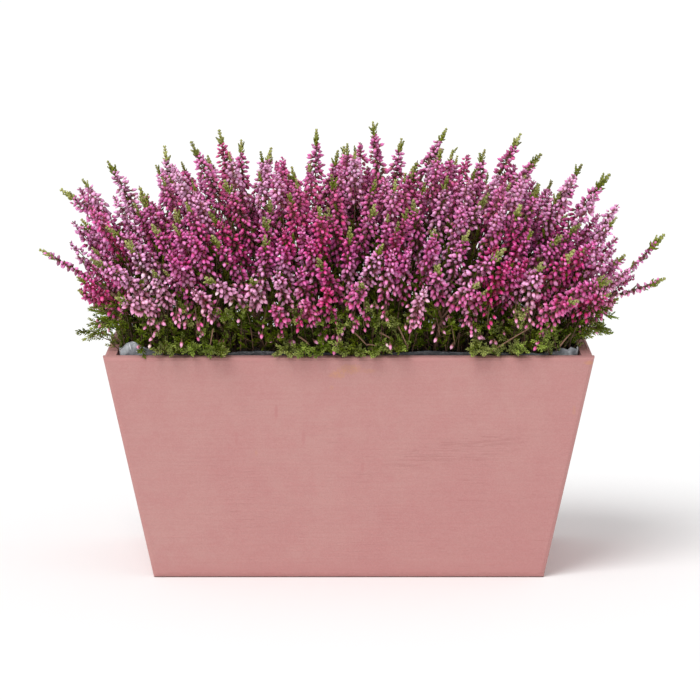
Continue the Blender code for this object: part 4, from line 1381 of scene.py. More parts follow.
class Pattern:
    """A small shape that is copied many times into a larger one."""

    def __init__(self, shape):
        for face in shape.faces:
            face.smooth = True
        self.mesh = bpy.data.meshes.new("pattern")
        shape.to_mesh(self.mesh)
        shape.free()
        count = len(self.mesh.vertices)
        flat = np.empty(count * 3, dtype=np.float32)
        self.mesh.vertices.foreach_get("co", flat)
        self.places = np.column_stack((flat.reshape(count, 3), np.ones(count)))

    def copy_to(self, shape, matrix, **numbers):
        """Adds a copy placed by the matrix, with the same plant numbers on all its verts."""
        moved = self.places @ np.array(matrix.transposed())
        self.mesh.vertices.foreach_set("co", moved[:, :3].astype(np.float32).ravel())
        for name, value in numbers.items():
            values = np.full(len(self.places), value, dtype=np.float32)
            self.mesh.attributes[name].data.foreach_set("value", values)
        shape.from_mesh(self.mesh)


def plant_shape():
    """A new bmesh whose verts carry the plant's numbers."""
    shape = bmesh.new()
    for name in PLANT_NUMBERS:
        shape.verts.layers.float.new(name)
    return shape


def set_number(shape, verts, name, value_at):
    layer = shape.verts.layers.float[name]
    for vert in verts:
        vert[layer] = value_at(vert)


def bud_pattern(look, sides, calyx_sides=0):
    """A closed bud along +Z: four sepals in one skin and, where it has sides, a calyx on its stalk."""
    shape = plant_shape()
    bmesh.ops.create_uvsphere(shape, u_segments=sides, v_segments=3, radius=1.0)
    for vert in shape.verts:
        share = math.acos(held(-vert.co.z, -1.0, 1.0)) / math.pi
        angle = math.atan2(vert.co.y, vert.co.x)
        fold = 1.0 + mix(*BUD_FOLDS, share) * math.cos(4.0 * angle)
        reach = look.bud_width * outline_at(BUD_OUTLINE, share) * fold
        vert.co = (math.cos(angle) * reach, math.sin(angle) * reach, outline_at(BUD_STATIONS, share))
    set_number(shape, shape.verts, "along", lambda vert: vert.co.z)
    if calyx_sides:
        middle, width, depth = CALYX
        calyx = bmesh.ops.create_cone(
            shape, cap_ends=False, segments=calyx_sides, radius1=0.0, radius2=look.bud_width * width,
            depth=depth, matrix=Matrix.Translation((0.0, 0.0, middle)),
        )["verts"]
        for face in {face for vert in calyx for face in vert.link_faces}:
            face.material_index = BARK
    return Pattern(shape)


def twig_pattern(twig):
    """A leafy twig along +Z with whorls of scale leaves, each whorl turned from the one below."""
    shape = plant_shape()
    bmesh.ops.create_cone(
        shape, cap_ends=False, segments=3, radius1=twig.core[0], radius2=twig.core[1], depth=TWIG_CORE,
        matrix=Matrix.Translation((0.0, 0.0, TWIG_CORE / 2)),
    )
    for level in range(twig.levels):
        share = level / (twig.levels - 1)
        leaf = mix(*twig.leaf, share)
        for side in range(twig.whorl):
            angle = (level / 2 + side) * 2.0 * math.pi / twig.whorl + TWIG_TURN * level
            place = (
                Matrix.Translation((0.0, 0.0, mix(*TWIG_WHORLS, share)))
                @ Matrix.Rotation(angle, 4, "Z")
                @ Matrix.Translation((TWIG_OUT, 0.0, 0.0))
                @ Matrix.Rotation(mix(*twig.tilt, share), 4, "Y")
                @ Matrix.Diagonal((LEAF_FLATNESS, 1.0, 1.0, 1.0))
                @ Matrix.Translation((0.0, 0.0, leaf / 2))
            )
            if twig.rounded:
                size = Matrix.Diagonal((twig.half_width, twig.half_width, leaf / 2, 1.0))
                bmesh.ops.create_uvsphere(
                    shape, u_segments=3, v_segments=2, radius=1.0, matrix=place @ size,
                )
            else:
                bmesh.ops.create_cone(
                    shape, cap_ends=False, segments=3, radius1=twig.half_width, radius2=0.0,
                    depth=leaf, matrix=place,
                )
    for face in shape.faces:
        face.material_index = LEAF
    set_number(shape, shape.verts, "along", lambda vert: held(vert.co.z))
    return Pattern(shape)


def turned_to(way, roll):
    """The turn that takes +Z to a direction, rolled about it."""
    return way.to_track_quat("Z", "Y").to_matrix().to_4x4() @ Matrix.Rotation(roll, 4, "Z")


def add_pattern(shape, pattern, place, way, length_along, draw, width=1.0, **numbers):
    matrix = Matrix.Translation(place) @ turned_to(way, draw.uniform(0.0, 2.0 * math.pi))
    across = length_along * width
    pattern.copy_to(shape, matrix @ Matrix.Diagonal((across, across, length_along, 1.0)), **numbers)


def add_stalk(shape, path, stalk, tone, shade, foot=None):
    """A closed round stem along a path, from its foot where it has one of its own."""
    spine = stops(path, stalk.rings)
    if foot is not None:
        spine = [(foot, UP)] + spine
    frames = frames_along(spine)
    tube = plant_shape()
    bmesh.ops.create_circle(tube, cap_ends=True, segments=stalk.sides, radius=1.0)
    top = raise_rings(tube, list(tube.edges), len(frames) - 1)
    bmesh.ops.contextual_create(tube, geom=top)
    numbers = [tube.verts.layers.float[name] for name in PLANT_NUMBERS]
    for vert in tube.verts:
        ring = round(vert.co.z)
        share = ring / (len(frames) - 1)
        place, _, right, up = frames[ring]
        vert.co = place + (right * vert.co.x + up * vert.co.y) * mix(stalk.foot, stalk.tip, share)
        for number, value in zip(numbers, (share, tone, shade)):
            vert[number] = value
    for face in tube.faces:
        face.material_index = BARK
        face.smooth = True
    bmesh.ops.recalc_face_normals(tube, faces=tube.faces)
    poured = bpy.data.meshes.new("tube")
    tube.to_mesh(poured)
    tube.free()
    shape.from_mesh(poured)
    bpy.data.meshes.remove(poured)


# Sprays


def frame_at(frames, path, share):
    """The frame nearest to a place on a path, moved to that place."""
    _, _, right, up = frames[round(share * (len(frames) - 1))]
    return at(path, share), along(path, share), right, up


def out_of(spine_frame, angle):
    _, _, right, up = spine_frame
    return right * math.cos(angle) + up * math.sin(angle)


def own_radius(share):
    """How far from its stalk the buds of one of the frame's spikes end."""
    return max(spike_radius(share), BUD_LEAST_REACH[0])


def head_radius(share):
    """The same for a spike that fills in, along the part of it that carries buds."""
    return max(HEAD_RADIUS * outline_at(HEAD_OUTLINE, share), BUD_LEAST_REACH[1])


def clump_tone(place):
    """How much paler, or deeper below zero, the buds are round a place."""
    shift = 0.0
    for middle, reach, change in CLUMPS:
        away = place - Vector(middle)
        away.y *= CLUMP_DEPTH
        shift += change * math.exp(-((away.length / reach) ** 2))
    return shift


def above_rim(path, share):
    """A share of a path, or a higher one where that would be lower than buds grow."""
    climb = max(0.01, path.end.z - path.start.z)
    return max(share, held((HEIGHT + BUDS_ABOVE - path.start.z) / climb, 0.0, 0.6))


def tall(path):
    """How far a spike's tip stands up in the crest, from 0 to 1."""
    return held((path.end.z - HEIGHT - CREST_FOOT) / CREST_RISE)


def add_buds(shape, bud, path, places, radius_at, tone, draw, look, crowd=1.0, scale=1.0):
    """Buds all round a spike, drooping low on it and rising at its end. Sparse ones start at its stalk. Buds
    nearer the stalk get darker painted shade.
    """
    gather, least_shade = mix(*BUD_GATHER, tall(path)), mix(*BUD_LEAST_SHADE, tall(path))
    tone += CREST_PALER * tall(path)
    frames = frames_along(stops(path, FRAMES))
    first, last = places
    count = round(path_length(path) * (last - first) * look.buds_per_metre * crowd)
    turn = draw.uniform(0.0, 2.0 * math.pi)
    for number in range(count):
        share = mix(first, last, held((number + draw.uniform(0.0, 1.0)) / count) ** gather)
        spine = frame_at(frames, path, share)
        out = out_of(spine, turn + number * GOLDEN_ANGLE + draw.gauss(0.0, BUD_SWAY[0]))
        size = look.bud_length * scale * outline_at(BUD_RIPENESS, share) * draw.uniform(*BUD_SIZES)
        droop = outline_at(BUD_DROOP, share) + draw.gauss(0.0, BUD_SWAY[1])
        lean = (-UP * BUD_LEAN[0] - spine[1] * BUD_LEAN[1]).normalized()
        way = (out * math.cos(droop) + lean * math.sin(droop)).normalized()
        # how far out a bud stands on the frame's spikes, and how light its painted shade is
        outer = draw.random()
        if crowd < 1.0:
            tip = spine[0] + way * size
        else:
            swing = lean * (BUD_SWING * math.sin(max(droop, 0.0)))
            tip = spine[0] + out * radius_at(share) * mix(*BUD_REACH, outer) + swing
        bud_tone = tone + clump_tone(tip) + draw.gauss(0.0, BUD_TONE_SPREAD)
        # a few buds turn nearly white, partly as painted highlights
        if draw.random() < WHITE_AND_HIGHLIT_BUDS[0]:
            bud_tone += WHITE_AND_HIGHLIT_BUDS[1]
        width = draw.uniform(*BUD_WIDTHS)
        # painted shade: darker for buds nearer the stalk, less dark in the crest
        shade = held(mix(least_shade, BUD_MOST_SHADE, outer) + draw.gauss(0.0, BUD_SHADE_SPREAD))
        add_pattern(shape, bud, tip - way * size, way, size, draw, width, tone=bud_tone, shade=shade)


def leaning(spine, out, spread, lift=0.0):
    """The direction of what leaves a stalk at an angle."""
    return (spine[1] * math.cos(spread) + out * math.sin(spread) + UP * lift).normalized()


def add_green_tip(shape, twig, path, sizes, beside, draw):
    """The knobbly green shoot that a spike ends in, with small ones beside it."""
    length_along = TIP_LENGTH * draw.uniform(*sizes)
    smaller = draw.choice(beside)
    start = 1.0 - length_along * TIP_SUNK / path_length(path)
    way = along(path, 0.5 + start / 2)
    add_pattern(shape, twig, at(path, start), way, length_along, draw, draw.uniform(*TIP_WIDTHS),
                tone=draw.uniform(*TIP_TONES), shade=draw.uniform(*TIP_SHADES))
    frames = frames_along(stops(path, FRAMES))
    for _ in range(smaller):
        spine = frame_at(frames, path, held(start + draw.uniform(*BESIDE_PLACES)))
        out = out_of(spine, draw.uniform(0.0, 2.0 * math.pi))
        way = leaning(spine, out, draw.uniform(*BESIDE_SPREADS))
        add_pattern(shape, twig, spine[0], way, length_along * draw.uniform(*BESIDE_SIZES), draw,
                    tone=draw.uniform(*BESIDE_TONES), shade=draw.uniform(*TIP_SHADES))


def add_leaves_along(shape, twig, path, leaves, draw):
    """Leafy twigs close along a stalk."""
    frames = frames_along(stops(path, FRAMES))
    for number in range(leaves.count):
        step = (number + draw.uniform(-0.3, 0.3) + 0.5) / leaves.count
        spine = frame_at(frames, path, mix(*leaves.places, step))
        out = out_of(spine, number * GOLDEN_ANGLE + draw.gauss(0.0, 0.3))
        way = leaning(spine, out, draw.uniform(*LEAF_SPREADS))
        add_pattern(shape, twig, spine[0], way, draw.uniform(*leaves.sizes), draw,
                    tone=mix(*leaves.tones, step) + draw.uniform(0.0, 0.3), shade=draw.random())


def rest_of(path, share):
    """The part of a path beyond a share of it."""
    return Path(at(path, share), path.bend.lerp(path.end, share), path.end)


def fill_path(x, y, share):
    root_x, root_y = x * FILL_ROOTS[0], y * FILL_ROOTS[1]
    start = Vector((root_x, root_y, soil_height(root_x, root_y) - FILL_ROOT_DEPTH))
    tip = Vector((x, y, HEIGHT + dome_height(x, y) * share))
    aside, up = FILL_BEND
    return Path(start, Vector((mix(root_x, x, aside), mix(root_y, y, aside), mix(start.z, tip.z, up))), tip)


def drawn_path(draw):
    """A spike to a place drawn at random inside the heather's outline from above, or nothing."""
    x, y = (draw.uniform(-reach, reach) for reach in FILL_REACH)
    edge = sum((abs(place) / reach) ** FILL_POWER for place, reach in zip((x, y), FILL_REACH))
    if edge > 1.0:
        return None
    outside = held((edge ** (1.0 / FILL_POWER) - FILL_EDGE[0]) / FILL_EDGE[1])
    low, high = (mix(inner, outer, outside) for inner, outer in zip(FILL_INSIDE, FILL_OUTSIDE))
    if abs(x) < FRONT_ENDS * FILL_REACH[0]:
        low = max(low, FRONT_LOW)
    return fill_path(x, y, draw.uniform(low, high))


@functools.cache
def fill_spikes():
    """More spikes where there is room between the frame's own, in a list for each spray that takes them."""
    draw = random.Random(STREAM["fill"])
    sprays = lay_out_sprays()
    room = Room()
    for path in (path for spray in sprays for path in spray.spikes):
        room.hold(path, spike_radius, 0)
    added = [[] for _ in sprays]
    edge_paths = [fill_path(x, y, up / dome_height(x, y)) for x, y, up in EDGE_TIPS]
    carriers = range(len(sprays) - len(SIDE_SPRAYS))
    middles = [sum((path.end for path in spray.spikes), Vector()) / len(spray.spikes) for spray in sprays]
    for attempt in range(-len(edge_paths), FILL_TRIES):
        path = edge_paths[attempt] if attempt < 0 else drawn_path(draw)
        if path is None:
            continue
        head = rest_of(path, above_rim(path, max(HEAD_START, 1.0 - FILL_HEAD / path_length(path))))
        in_front = path.end.y < FRONT_GAPS[0] and abs(path.end.x) < FRONT_GAPS[1]
        radius = FRONT_GAPS[2] if in_front else FILL_RADIUS
        if attempt >= 0 and room.spare(head, lambda share: radius, 1) < -FILL_OVERLAP:
            continue
        room.hold(head, lambda share: radius, 0)
        owner = min(
            carriers,
            key=lambda index: (middles[index] - path.end).length + FILL_EVEN * len(added[index]),
        )
        added[owner].append((path, head))
    return added


def make_flowers(spray, more, patterns, materials, look, draw):
    """One spray's spikes of buds on their stalks, the frame's own and those that fill in between them."""
    own_bud, front_bud, back_bud, plain_twig, tip_twig = patterns
    shape = plant_shape()
    foot = spray.stem.end - along(spray.stem, 1.0) * SPIKE_FOOT
    for path in spray.spikes:
        places = above_rim(path, BUD_PLACES[0]), BUD_PLACES[1]
        add_stalk(shape, Path(foot, path.bend, path.end), SPIKE_STALK, STALK_TONE, draw.random())
        tone, sparse = SPRAY_TONES[spray.tone] + draw.gauss(0.0, SPIKE_TONES[0]), ()
        if spray.name in LONE_SPRAYS:
            tone, sparse = LONE_TONE, (LONE_CROWD, LONE_SIZE)
        add_buds(shape, own_bud, path, places, own_radius, tone, draw, look, *sparse)
        add_leaves_along(shape, plain_twig, path, OWN_LEAVES, draw)
        add_green_tip(shape, tip_twig, path, TIP_SIZES, TIP_CHOICES, draw)
    for path, head in more:
        add_stalk(shape, path, FILL_STALK, STALK_TONE, draw.random())
        bud = back_bud if path.end.y > BACK_BUDS else front_bud
        tipped = draw.random() < FILL_TIPPED
        places = FILL_BUD_START, BUD_PLACES[1] if tipped else 1.0
        tone = draw.gauss(FILL_TONE, SPIKE_TONES[1])
        add_buds(shape, bud, head, places, head_radius, tone, draw, look)
        add_leaves_along(shape, plain_twig, path, FILL_LEAVES, draw)
        if tipped:
            add_green_tip(shape, tip_twig, path, FILL_TIP_SIZES, FILL_TIP_CHOICES, draw)
    add_piece(spray.name + "_flowers", shape, materials, [spray.name + "_bloom"])


def add_leafy_shoot(shape, twig, path, tone, draw, look, count=4, scale=1.0):
    """A thin stalk with leafy twigs on alternate sides and one at its end."""
    frames = frames_along(stops(path, SHOOT_FRAMES))
    add_stalk(shape, path, SHOOT_STALK, tone, draw.random())
    usual = look.sprig_length * scale
    add_pattern(shape, twig, at(path, END_TWIG), along(path, 1.0), usual * draw.uniform(*END_SIZES), draw,
                tone=tone + END_FRESHER, shade=draw.random())
    for number in range(count):
        share = mix(*SIDE_TWIGS, (number + draw.uniform(-0.3, 0.3)) / (count - 1))
        spine = frame_at(frames, path, held(share, 0.1, 0.95))
        out = out_of(spine, number * GOLDEN_ANGLE + draw.gauss(0.0, 0.4))
        way = leaning(spine, out, draw.uniform(*SIDE_SPREADS), SIDE_LIFT)
        add_pattern(shape, twig, spine[0], way, usual * draw.uniform(*SIDE_SIZES), draw,
                    tone=tone + draw.uniform(*SIDE_TONES), shade=draw.random())


SUNK_STEM = 0.8  # the share of its hole's depth that a stem reaches down
STEM_SHOOT_BEND, STEM_SHOOT_SAG = 0.55, 0.1  # where a side shoot bends, and how far it sags
STEM_SHOOT_TONE, STEM_SHOOT_SPREAD = 0.55, (-0.05, 0.15)  # the uppermost one's, and how much they differ


def make_shoots(spray, twig, materials, look, draw):
    """One spray's woody stem with its leafy side shoots."""
    shape = plant_shape()
    foot = spray.stem.start - UP * (HOLE_DEPTH * SUNK_STEM)
    add_stalk(shape, spray.stem, WOODY_STEM, STEM_TONE, draw.random(), foot)
    spine = frames_along(stops(spray.stem, SHOOT_RINGS))
    for (ring, corner), share in spray.shoots.items():
        start = spine[ring][0]
        end = shoot_spot(spine[ring], corner, share)
        out = end - start
        bend = start + out * STEM_SHOOT_BEND - UP * out.length * STEM_SHOOT_SAG
        tone = mix(0.0, STEM_SHOOT_TONE, ring / SHOOT_RINGS) + draw.uniform(*STEM_SHOOT_SPREAD)
        add_leafy_shoot(shape, twig, Path(start, bend, end), tone, draw, look)
    add_piece(spray.name + "_shoots", shape, materials, [spray.name + "_stem"])


# Low shoots round the rim and among the stems

RIM_SIDES = {"front": (0, -1, 0.42), "back": (0, 1, 0.3), "left": (-1, 0, 0.14), "right": (1, 0, 0.14)}
ROOT_DEPTH = 0.001
RIM_INSETS, RIM_ENDS = (0.005, 0.018), 0.014  # how far inside the soil's edge and its ends they root
RIM_ACROSS = 0.014  # how far along the board they lean at most
RIM_TONES, RIM_TWIGS, RIM_SCALE = (0.25, 1.05), 8, 1.08
END_REACH = 1.4  # how much further they lean out over the end boards
LOW_RISE, LOW_REACH, LOW_BEND = (0.018, 0.026), (0.016, 0.03), (0.4, 1.25)  # one that leans out low
HIGH_RISE, HIGH_REACH, HIGH_BEND = (0.026, 0.054), (0.004, 0.024), (0.15, 1.05)  # and one that stands
RIM_CLUMPS = {  # where tufts lie on the rim
    "front": (-0.137, -0.127, -0.11, -0.04, -0.027, -0.014, 0.002, 0.024, 0.105, 0.121, 0.134),
    "back": (-0.08, 0.06), "left": (), "right": (),
}
CLUMP_RISE, CLUMP_REACH, CLUMP_SHOOTS, CLUMP_SPREAD = (0.0135, 0.019), (0.018, 0.027), 4, 0.005
CLUMP_INSETS, CLUMP_TONES, CLUMP_TWIGS, CLUMP_SCALE = (0.004, 0.01), (0.45, 1.05), 7, 0.98
DARK_PLACES = ((-0.086, -0.05), (0.05, 0.094))  # along the front, where few leaves hide the soil and stems
DARK_TWIGS, DARK_TONE = 4, 0.25
HANGING = (  # sprigs of buds that hang low along the front: where each ends, its buds and their tone
    (-0.1614, 0.21, 9, 0.95), (-0.154, 0.203, 7, 1.0), (-0.14, 0.215, 9, 0.8),
    (-0.131, 0.211, 7, 0.85), (-0.1225, 0.2085, 6, 0.6), (-0.111, 0.215, 6, 0.8),
    (-0.159, 0.1975, 1, 1.6), (-0.124, 0.2, 1, 0.7), (-0.1185, 0.204, 1, 1.7),
    (-0.07, 0.206, 2, 0.75), (-0.058, 0.213, 3, 0.8), (-0.0396, 0.21, 9, 0.1),
    (-0.03, 0.215, 9, 0.15), (-0.02, 0.2, 6, 0.75), (-0.011, 0.1915, 5, 0.55),
    (-0.006, 0.201, 5, 0.85), (0.0026, 0.211, 8, 0.65), (0.012, 0.211, 7, 0.6),
    (0.0262, 0.1985, 1, 1.7), (0.029, 0.216, 4, 0.75), (0.052, 0.211, 7, 0.8),
    (0.059, 0.214, 6, 0.75), (0.074, 0.202, 4, 1.15), (0.086, 0.196, 1, 1.1),
    (0.098, 0.209, 6, 0.75), (0.103, 0.201, 4, 0.95), (0.112, 0.212, 5, 0.05),
    (0.135, 0.215, 5, 0.9), (0.147, 0.211, 6, 0.85), (0.156, 0.206, 8, 0.65),
    (0.156, 0.195, 3, 0.6), (0.165, 0.208, 5, 0.75),
)
HANG_IN_FRONT = 0.0035  # of the front board, where they end
HANG_DEPTHS, HANG_DROP = (0.0, 0.006), 0.002
HANG_STRAY, HANG_REACH, HANG_RISE = 0.004, 0.018, (0.014, 0.022)  # from there to where they start
HANG_BEND = Vector((0.0, -0.004, 0.004))
HANG_BUDS, HANG_SIZES, HANG_TONE_SPREAD, HANG_SHADES = (1.0, 0.3), (0.7, 0.96), 0.14, (0.55, 1.0)
HANG_OUT, HANG_OUT_SPREAD = (0.0, -0.002, -0.001), (0.0042, 0.0025, 0.002)  # how far off it each bud is
BROWN_TWIGS = (  # bare twigs along the front, from one place in X and Z to another
    ((-0.0104, 0.207), (-0.0055, 0.191)), ((0.0018, 0.2055), (0.0148, 0.193)),
    ((0.0148, 0.193), (0.0225, 0.1925)), ((0.0253, 0.203), (0.0367, 0.1964)),
    ((0.117, 0.188), (0.1463, 0.207)), ((0.1715, 0.192), (0.18, 0.203)),
    ((-0.0412, 0.2), (-0.0323, 0.194)), ((-0.11, 0.206), (-0.113, 0.189)),
    ((0.04, 0.208), (0.047, 0.193)),
)
BROWN_DEPTHS = (0.001, -0.003)  # from the front board, in Y
BROWN_BEND = Vector((0.0, -0.002, 0.0015))
PLUMES = (  # along X
    -0.044, -0.037, -0.03, -0.024, -0.018, -0.011, -0.004, 0.004, 0.012, 0.02, 0.028, 0.047, 0.055,
    -0.148, -0.134, -0.118, -0.104, 0.104, 0.12, 0.136, 0.152,
)
PLUME_REACH, PLUME_RISE, PLUME_TONES = (0.013, 0.021), (0.03, 0.044), (0.55, 1.05)
PLUME_INSETS, PLUME_STRAY, PLUME_SCALE = (0.004, 0.009), 0.002, 1.05


def root_at(x, y):
    return Vector((x, y, soil_surface(x, y) - ROOT_DEPTH))


def rim_shoot_path(side_x, side_y, x, y, reach, rise, draw):
    """A shoot that roots in the soil near the film and leans out over the rim."""
    start = root_at(x, y)
    out = Vector((side_x, side_y, 0.0)) * reach
    across = Vector((-side_y, side_x, 0.0)) * draw.uniform(-RIM_ACROSS, RIM_ACROSS)
    bend_out, bend_up = LOW_BEND if rise < LOW_RISE[1] else HIGH_BEND
    bend = start + out * bend_out + across * 0.4 + UP * (rise * bend_up)
    return Path(start, bend, start + out + across + UP * rise)


def add_pale_buds(shape, bud, path, side_y, look, draw):
    """A few pale buds that hang on a rim shoot."""
    for _ in range(draw.choice((0, 0, 1, 3))):
        way = Vector((draw.gauss(0.0, 0.6), draw.gauss(0.0, 0.6), -1.0)).normalized()
        place = at(path, draw.uniform(0.5, 1.0)) + Vector((draw.gauss(0.0, 0.003), side_y * 0.003, 0.002))
        add_pattern(shape, bud, place, way, look.bud_length * draw.uniform(0.7, 1.0), draw,
                    tone=draw.uniform(0.8, 1.1), shade=1.0)


def add_hanging_sprigs(shape, bud, look, draw):
    """Thin sprigs with a few buds each that hang low along the front."""
    front = -DEPTH / 2 - HANG_IN_FRONT
    for x, z, buds, tone in HANGING:
        end = Vector((x, front + draw.uniform(*HANG_DEPTHS), z - HANG_DROP))
        start = end + Vector((draw.gauss(0.0, HANG_STRAY), HANG_REACH, draw.uniform(*HANG_RISE)))
        path = Path(start, start.lerp(end, 0.6) + HANG_BEND, end)
        add_stalk(shape, path, HANGING_STALK, HANGING_TONE, 0.9)
        for number in range(buds):
            share = mix(*HANG_BUDS, (number + draw.uniform(-0.3, 0.3)) / max(buds, 2))
            out = Vector([draw.gauss(*pair) for pair in zip(HANG_OUT, HANG_OUT_SPREAD)])
            way = (out * 130.0 + Vector((0.0, -0.15, -0.9))).normalized()
            place = at(path, held(share)) + out * 0.5
            add_pattern(shape, bud, place, way, look.bud_length * draw.uniform(*HANG_SIZES), draw,
                        tone=tone + draw.gauss(0.0, HANG_TONE_SPREAD), shade=draw.uniform(*HANG_SHADES))


def add_brown_twigs(shape):
    """Bare twigs that lie across the leaves along the front."""
    for (x, z), (end_x, end_z) in BROWN_TWIGS:
        start = Vector((x, -DEPTH / 2 + BROWN_DEPTHS[0], z))
        end = Vector((end_x, -DEPTH / 2 + BROWN_DEPTHS[1], end_z))
        add_stalk(shape, Path(start, start.lerp(end, 0.5) + BROWN_BEND, end), BARE_TWIG, BARE_TONE, 1.0)


def add_plumes(shape, twig, look):
    """Fresh shoots that stand up along the front, before the stems."""
    draw = random.Random(STREAM["plumes"])
    half_y = soil_half_size(HEIGHT)[1]
    for place in PLUMES:
        y = draw.uniform(*PLUME_INSETS) - half_y
        reach, rise = draw.uniform(*PLUME_REACH), draw.uniform(*PLUME_RISE)
        x = place + draw.gauss(0.0, PLUME_STRAY)
        path = rim_shoot_path(0, -1, x, y, reach, rise, draw)
        add_leafy_shoot(shape, twig, path, draw.uniform(*PLUME_TONES), draw, look, RIM_TWIGS, PLUME_SCALE)


def make_rim_shoots(patterns, materials, look):
    """The skirt of low green shoots round the trough's edge, a few of them with a pale bud or two."""
    full_twig, bud = patterns
    draw = random.Random(STREAM["rim"])
    half_x, half_y = soil_half_size(HEIGHT)
    for side, (side_x, side_y, part) in RIM_SIDES.items():
        shape = plant_shape()
        count = round(look.rim_shoots * part)
        for number in range(count):
            across = 2.0 * (number + 0.5 + draw.uniform(-0.45, 0.45)) / count - 1.0
            inset = draw.uniform(*RIM_INSETS)
            x = across * (half_x - RIM_ENDS) if side_y else side_x * (half_x - inset)
            y = across * (half_y - RIM_ENDS) if side_x else side_y * (half_y - inset)
            dark = side == "front" and any(first < x < last for first, last in DARK_PLACES)
            low = number % 5 in (1, 3) and not dark
            rise = draw.uniform(*(LOW_RISE if low else HIGH_RISE))
            reach = draw.uniform(*(LOW_REACH if low else HIGH_REACH)) * (END_REACH if side_x else 1.0)
            path = rim_shoot_path(side_x, side_y, x, y, reach, rise, draw)
            tone = draw.uniform(*RIM_TONES) * (DARK_TONE if dark else 1.0)
            twigs = DARK_TWIGS if dark else RIM_TWIGS
            add_leafy_shoot(shape, full_twig, path, tone, draw, look, twigs, RIM_SCALE)
            add_pale_buds(shape, bud, path, side_y, look, draw)
        if side == "front":
            add_hanging_sprigs(shape, bud, look, draw)
            add_brown_twigs(shape)
            add_plumes(shape, full_twig, look)
        for middle in RIM_CLUMPS[side]:
            for _ in range(CLUMP_SHOOTS):
                x = middle + draw.gauss(0.0, CLUMP_SPREAD)
                y = side_y * (half_y - draw.uniform(*CLUMP_INSETS))
                reach, rise = draw.uniform(*CLUMP_REACH), draw.uniform(*CLUMP_RISE)
                path = rim_shoot_path(side_x, side_y, x, y, reach, rise, draw)
                tone = draw.uniform(*CLUMP_TONES)
                add_leafy_shoot(shape, full_twig, path, tone, draw, look, CLUMP_TWIGS, CLUMP_SCALE)
        add_piece(f"rim_shoots_{side}", shape, materials)


GROUND_INSET, GROUND_SPREAD, GROUND_LEAN = 0.02, 0.5, 0.01
GROUND_RISE, RISE_BEHIND = (0.035, 0.122), 0.075  # and the least rise behind the middle
BEHIND = (0.01, 0.115)  # where that is: beyond the first in Y, within the second in X
GROUND_BEND, GROUND_TONES = (0.3, 0.55), (0.0, 0.4)
SCREEN_SHOOTS = (-0.09, -0.084, -0.077, -0.043, 0.0085, 0.0196, 0.024, 0.044)  # along X, behind the middle
SCREEN_ROWS, SCREEN_STRAY = (0.018, 0.044), 0.002
SCREEN_RISE, SCREEN_TONES, SCREEN_TWIGS = (0.05, 0.07), (0.0, 0.3), 9


def make_ground_shoots(twig, materials, look):
    """Leafy shoots that stand among the stems all over the soil."""
    draw = random.Random(STREAM["ground"])
    half_x, half_y = soil_half_size(HEIGHT)
    shape = plant_shape()
    for _ in range(look.ground_shoots):
        x = draw.uniform(-1.0, 1.0) * (half_x - GROUND_INSET)
        y = held(draw.gauss(0.0, GROUND_SPREAD), -1.0, 1.0) * (half_y - GROUND_INSET)
        start = root_at(x, y)
        lean = Vector((draw.gauss(0.0, GROUND_LEAN), draw.gauss(0.0, GROUND_LEAN), 0.0))
        behind = y > BEHIND[0] and abs(x) < BEHIND[1]
        least, most = GROUND_RISE
        end = start + lean + UP * draw.uniform(RISE_BEHIND if behind else least, most)
        aside, up = GROUND_BEND
        path = Path(start, start + lean * aside + UP * ((end.z - start.z) * up), end)
        add_leafy_shoot(shape, twig, path, draw.uniform(*GROUND_TONES), draw, look, RIM_TWIGS)
    for x in SCREEN_SHOOTS:
        for y in SCREEN_ROWS:
            start = root_at(x, y)
            end = start + Vector((draw.gauss(0.0, SCREEN_STRAY), 0.0, draw.uniform(*SCREEN_RISE)))
            path = Path(start, start.lerp(end, 0.5), end)
            add_leafy_shoot(shape, twig, path, draw.uniform(*SCREEN_TONES), draw, look, SCREEN_TWIGS)
    add_piece("ground_shoots", shape, materials)


# Studio


KEY_PLACE = (-1.1, -1.5, 2.6)  # where the key light comes from
FLOOR_DROP = 0.0002  # below the trough's foot
FLOOR_WHITE, FLOOR_ROUGHNESS, FLOOR_SPECULAR = 0.95, 0.9, 0.1
SENSOR_WIDTH = 36.0  # in millimetres


def make_floor(look):
    shape = bmesh.new()
    bmesh.ops.create_grid(shape, x_segments=1, y_segments=1, size=look.floor_size)
    bmesh.ops.translate(shape, verts=shape.verts, vec=(0.0, 0.0, -FLOOR_DROP))
    material, _, shader = new_material("pale floor")
    shader.inputs["Base Color"].default_value = (FLOOR_WHITE, FLOOR_WHITE, FLOOR_WHITE, 1.0)
    shader.inputs["Roughness"].default_value = FLOOR_ROUGHNESS
    shader.inputs["Specular IOR Level"].default_value = FLOOR_SPECULAR
    floor = add_object("studio_floor", shape, [material])


def aimed(item, place, target):
    item.location = place
    item.rotation_euler = (Vector(target) - Vector(place)).to_track_quat("-Z", "Y").to_euler()
    bpy.context.scene.collection.objects.link(item)
    return item


def set_sky(look):
    """Even light from all round. The backdrop that the camera sees is plain white."""
    world = bpy.data.worlds.new("even light")
    world.use_nodes = True
    graph = Graph(world.node_tree)
    lit = world.node_tree.nodes["Background"]
    lit.inputs["Color"].default_value = (1.0, 1.0, 1.0, 1.0)
    lit.inputs["Strength"].default_value = look.sky
    seen = graph.add("ShaderNodeBackground", {"Color": (1.0, 1.0, 1.0), "Strength": 1.0})
    to_camera = graph.add("ShaderNodeLightPath").outputs["Is Camera Ray"]
    both = graph.add("ShaderNodeMixShader", {"Fac": to_camera})
    links, surface = world.node_tree.links, world.node_tree.nodes["World Output"].inputs["Surface"]
    links.new(lit.outputs["Background"], both.inputs[1])
    links.new(seen.outputs["Background"], both.inputs[2])
    links.new(both.outputs["Shader"], surface)
    bpy.context.scene.world = world


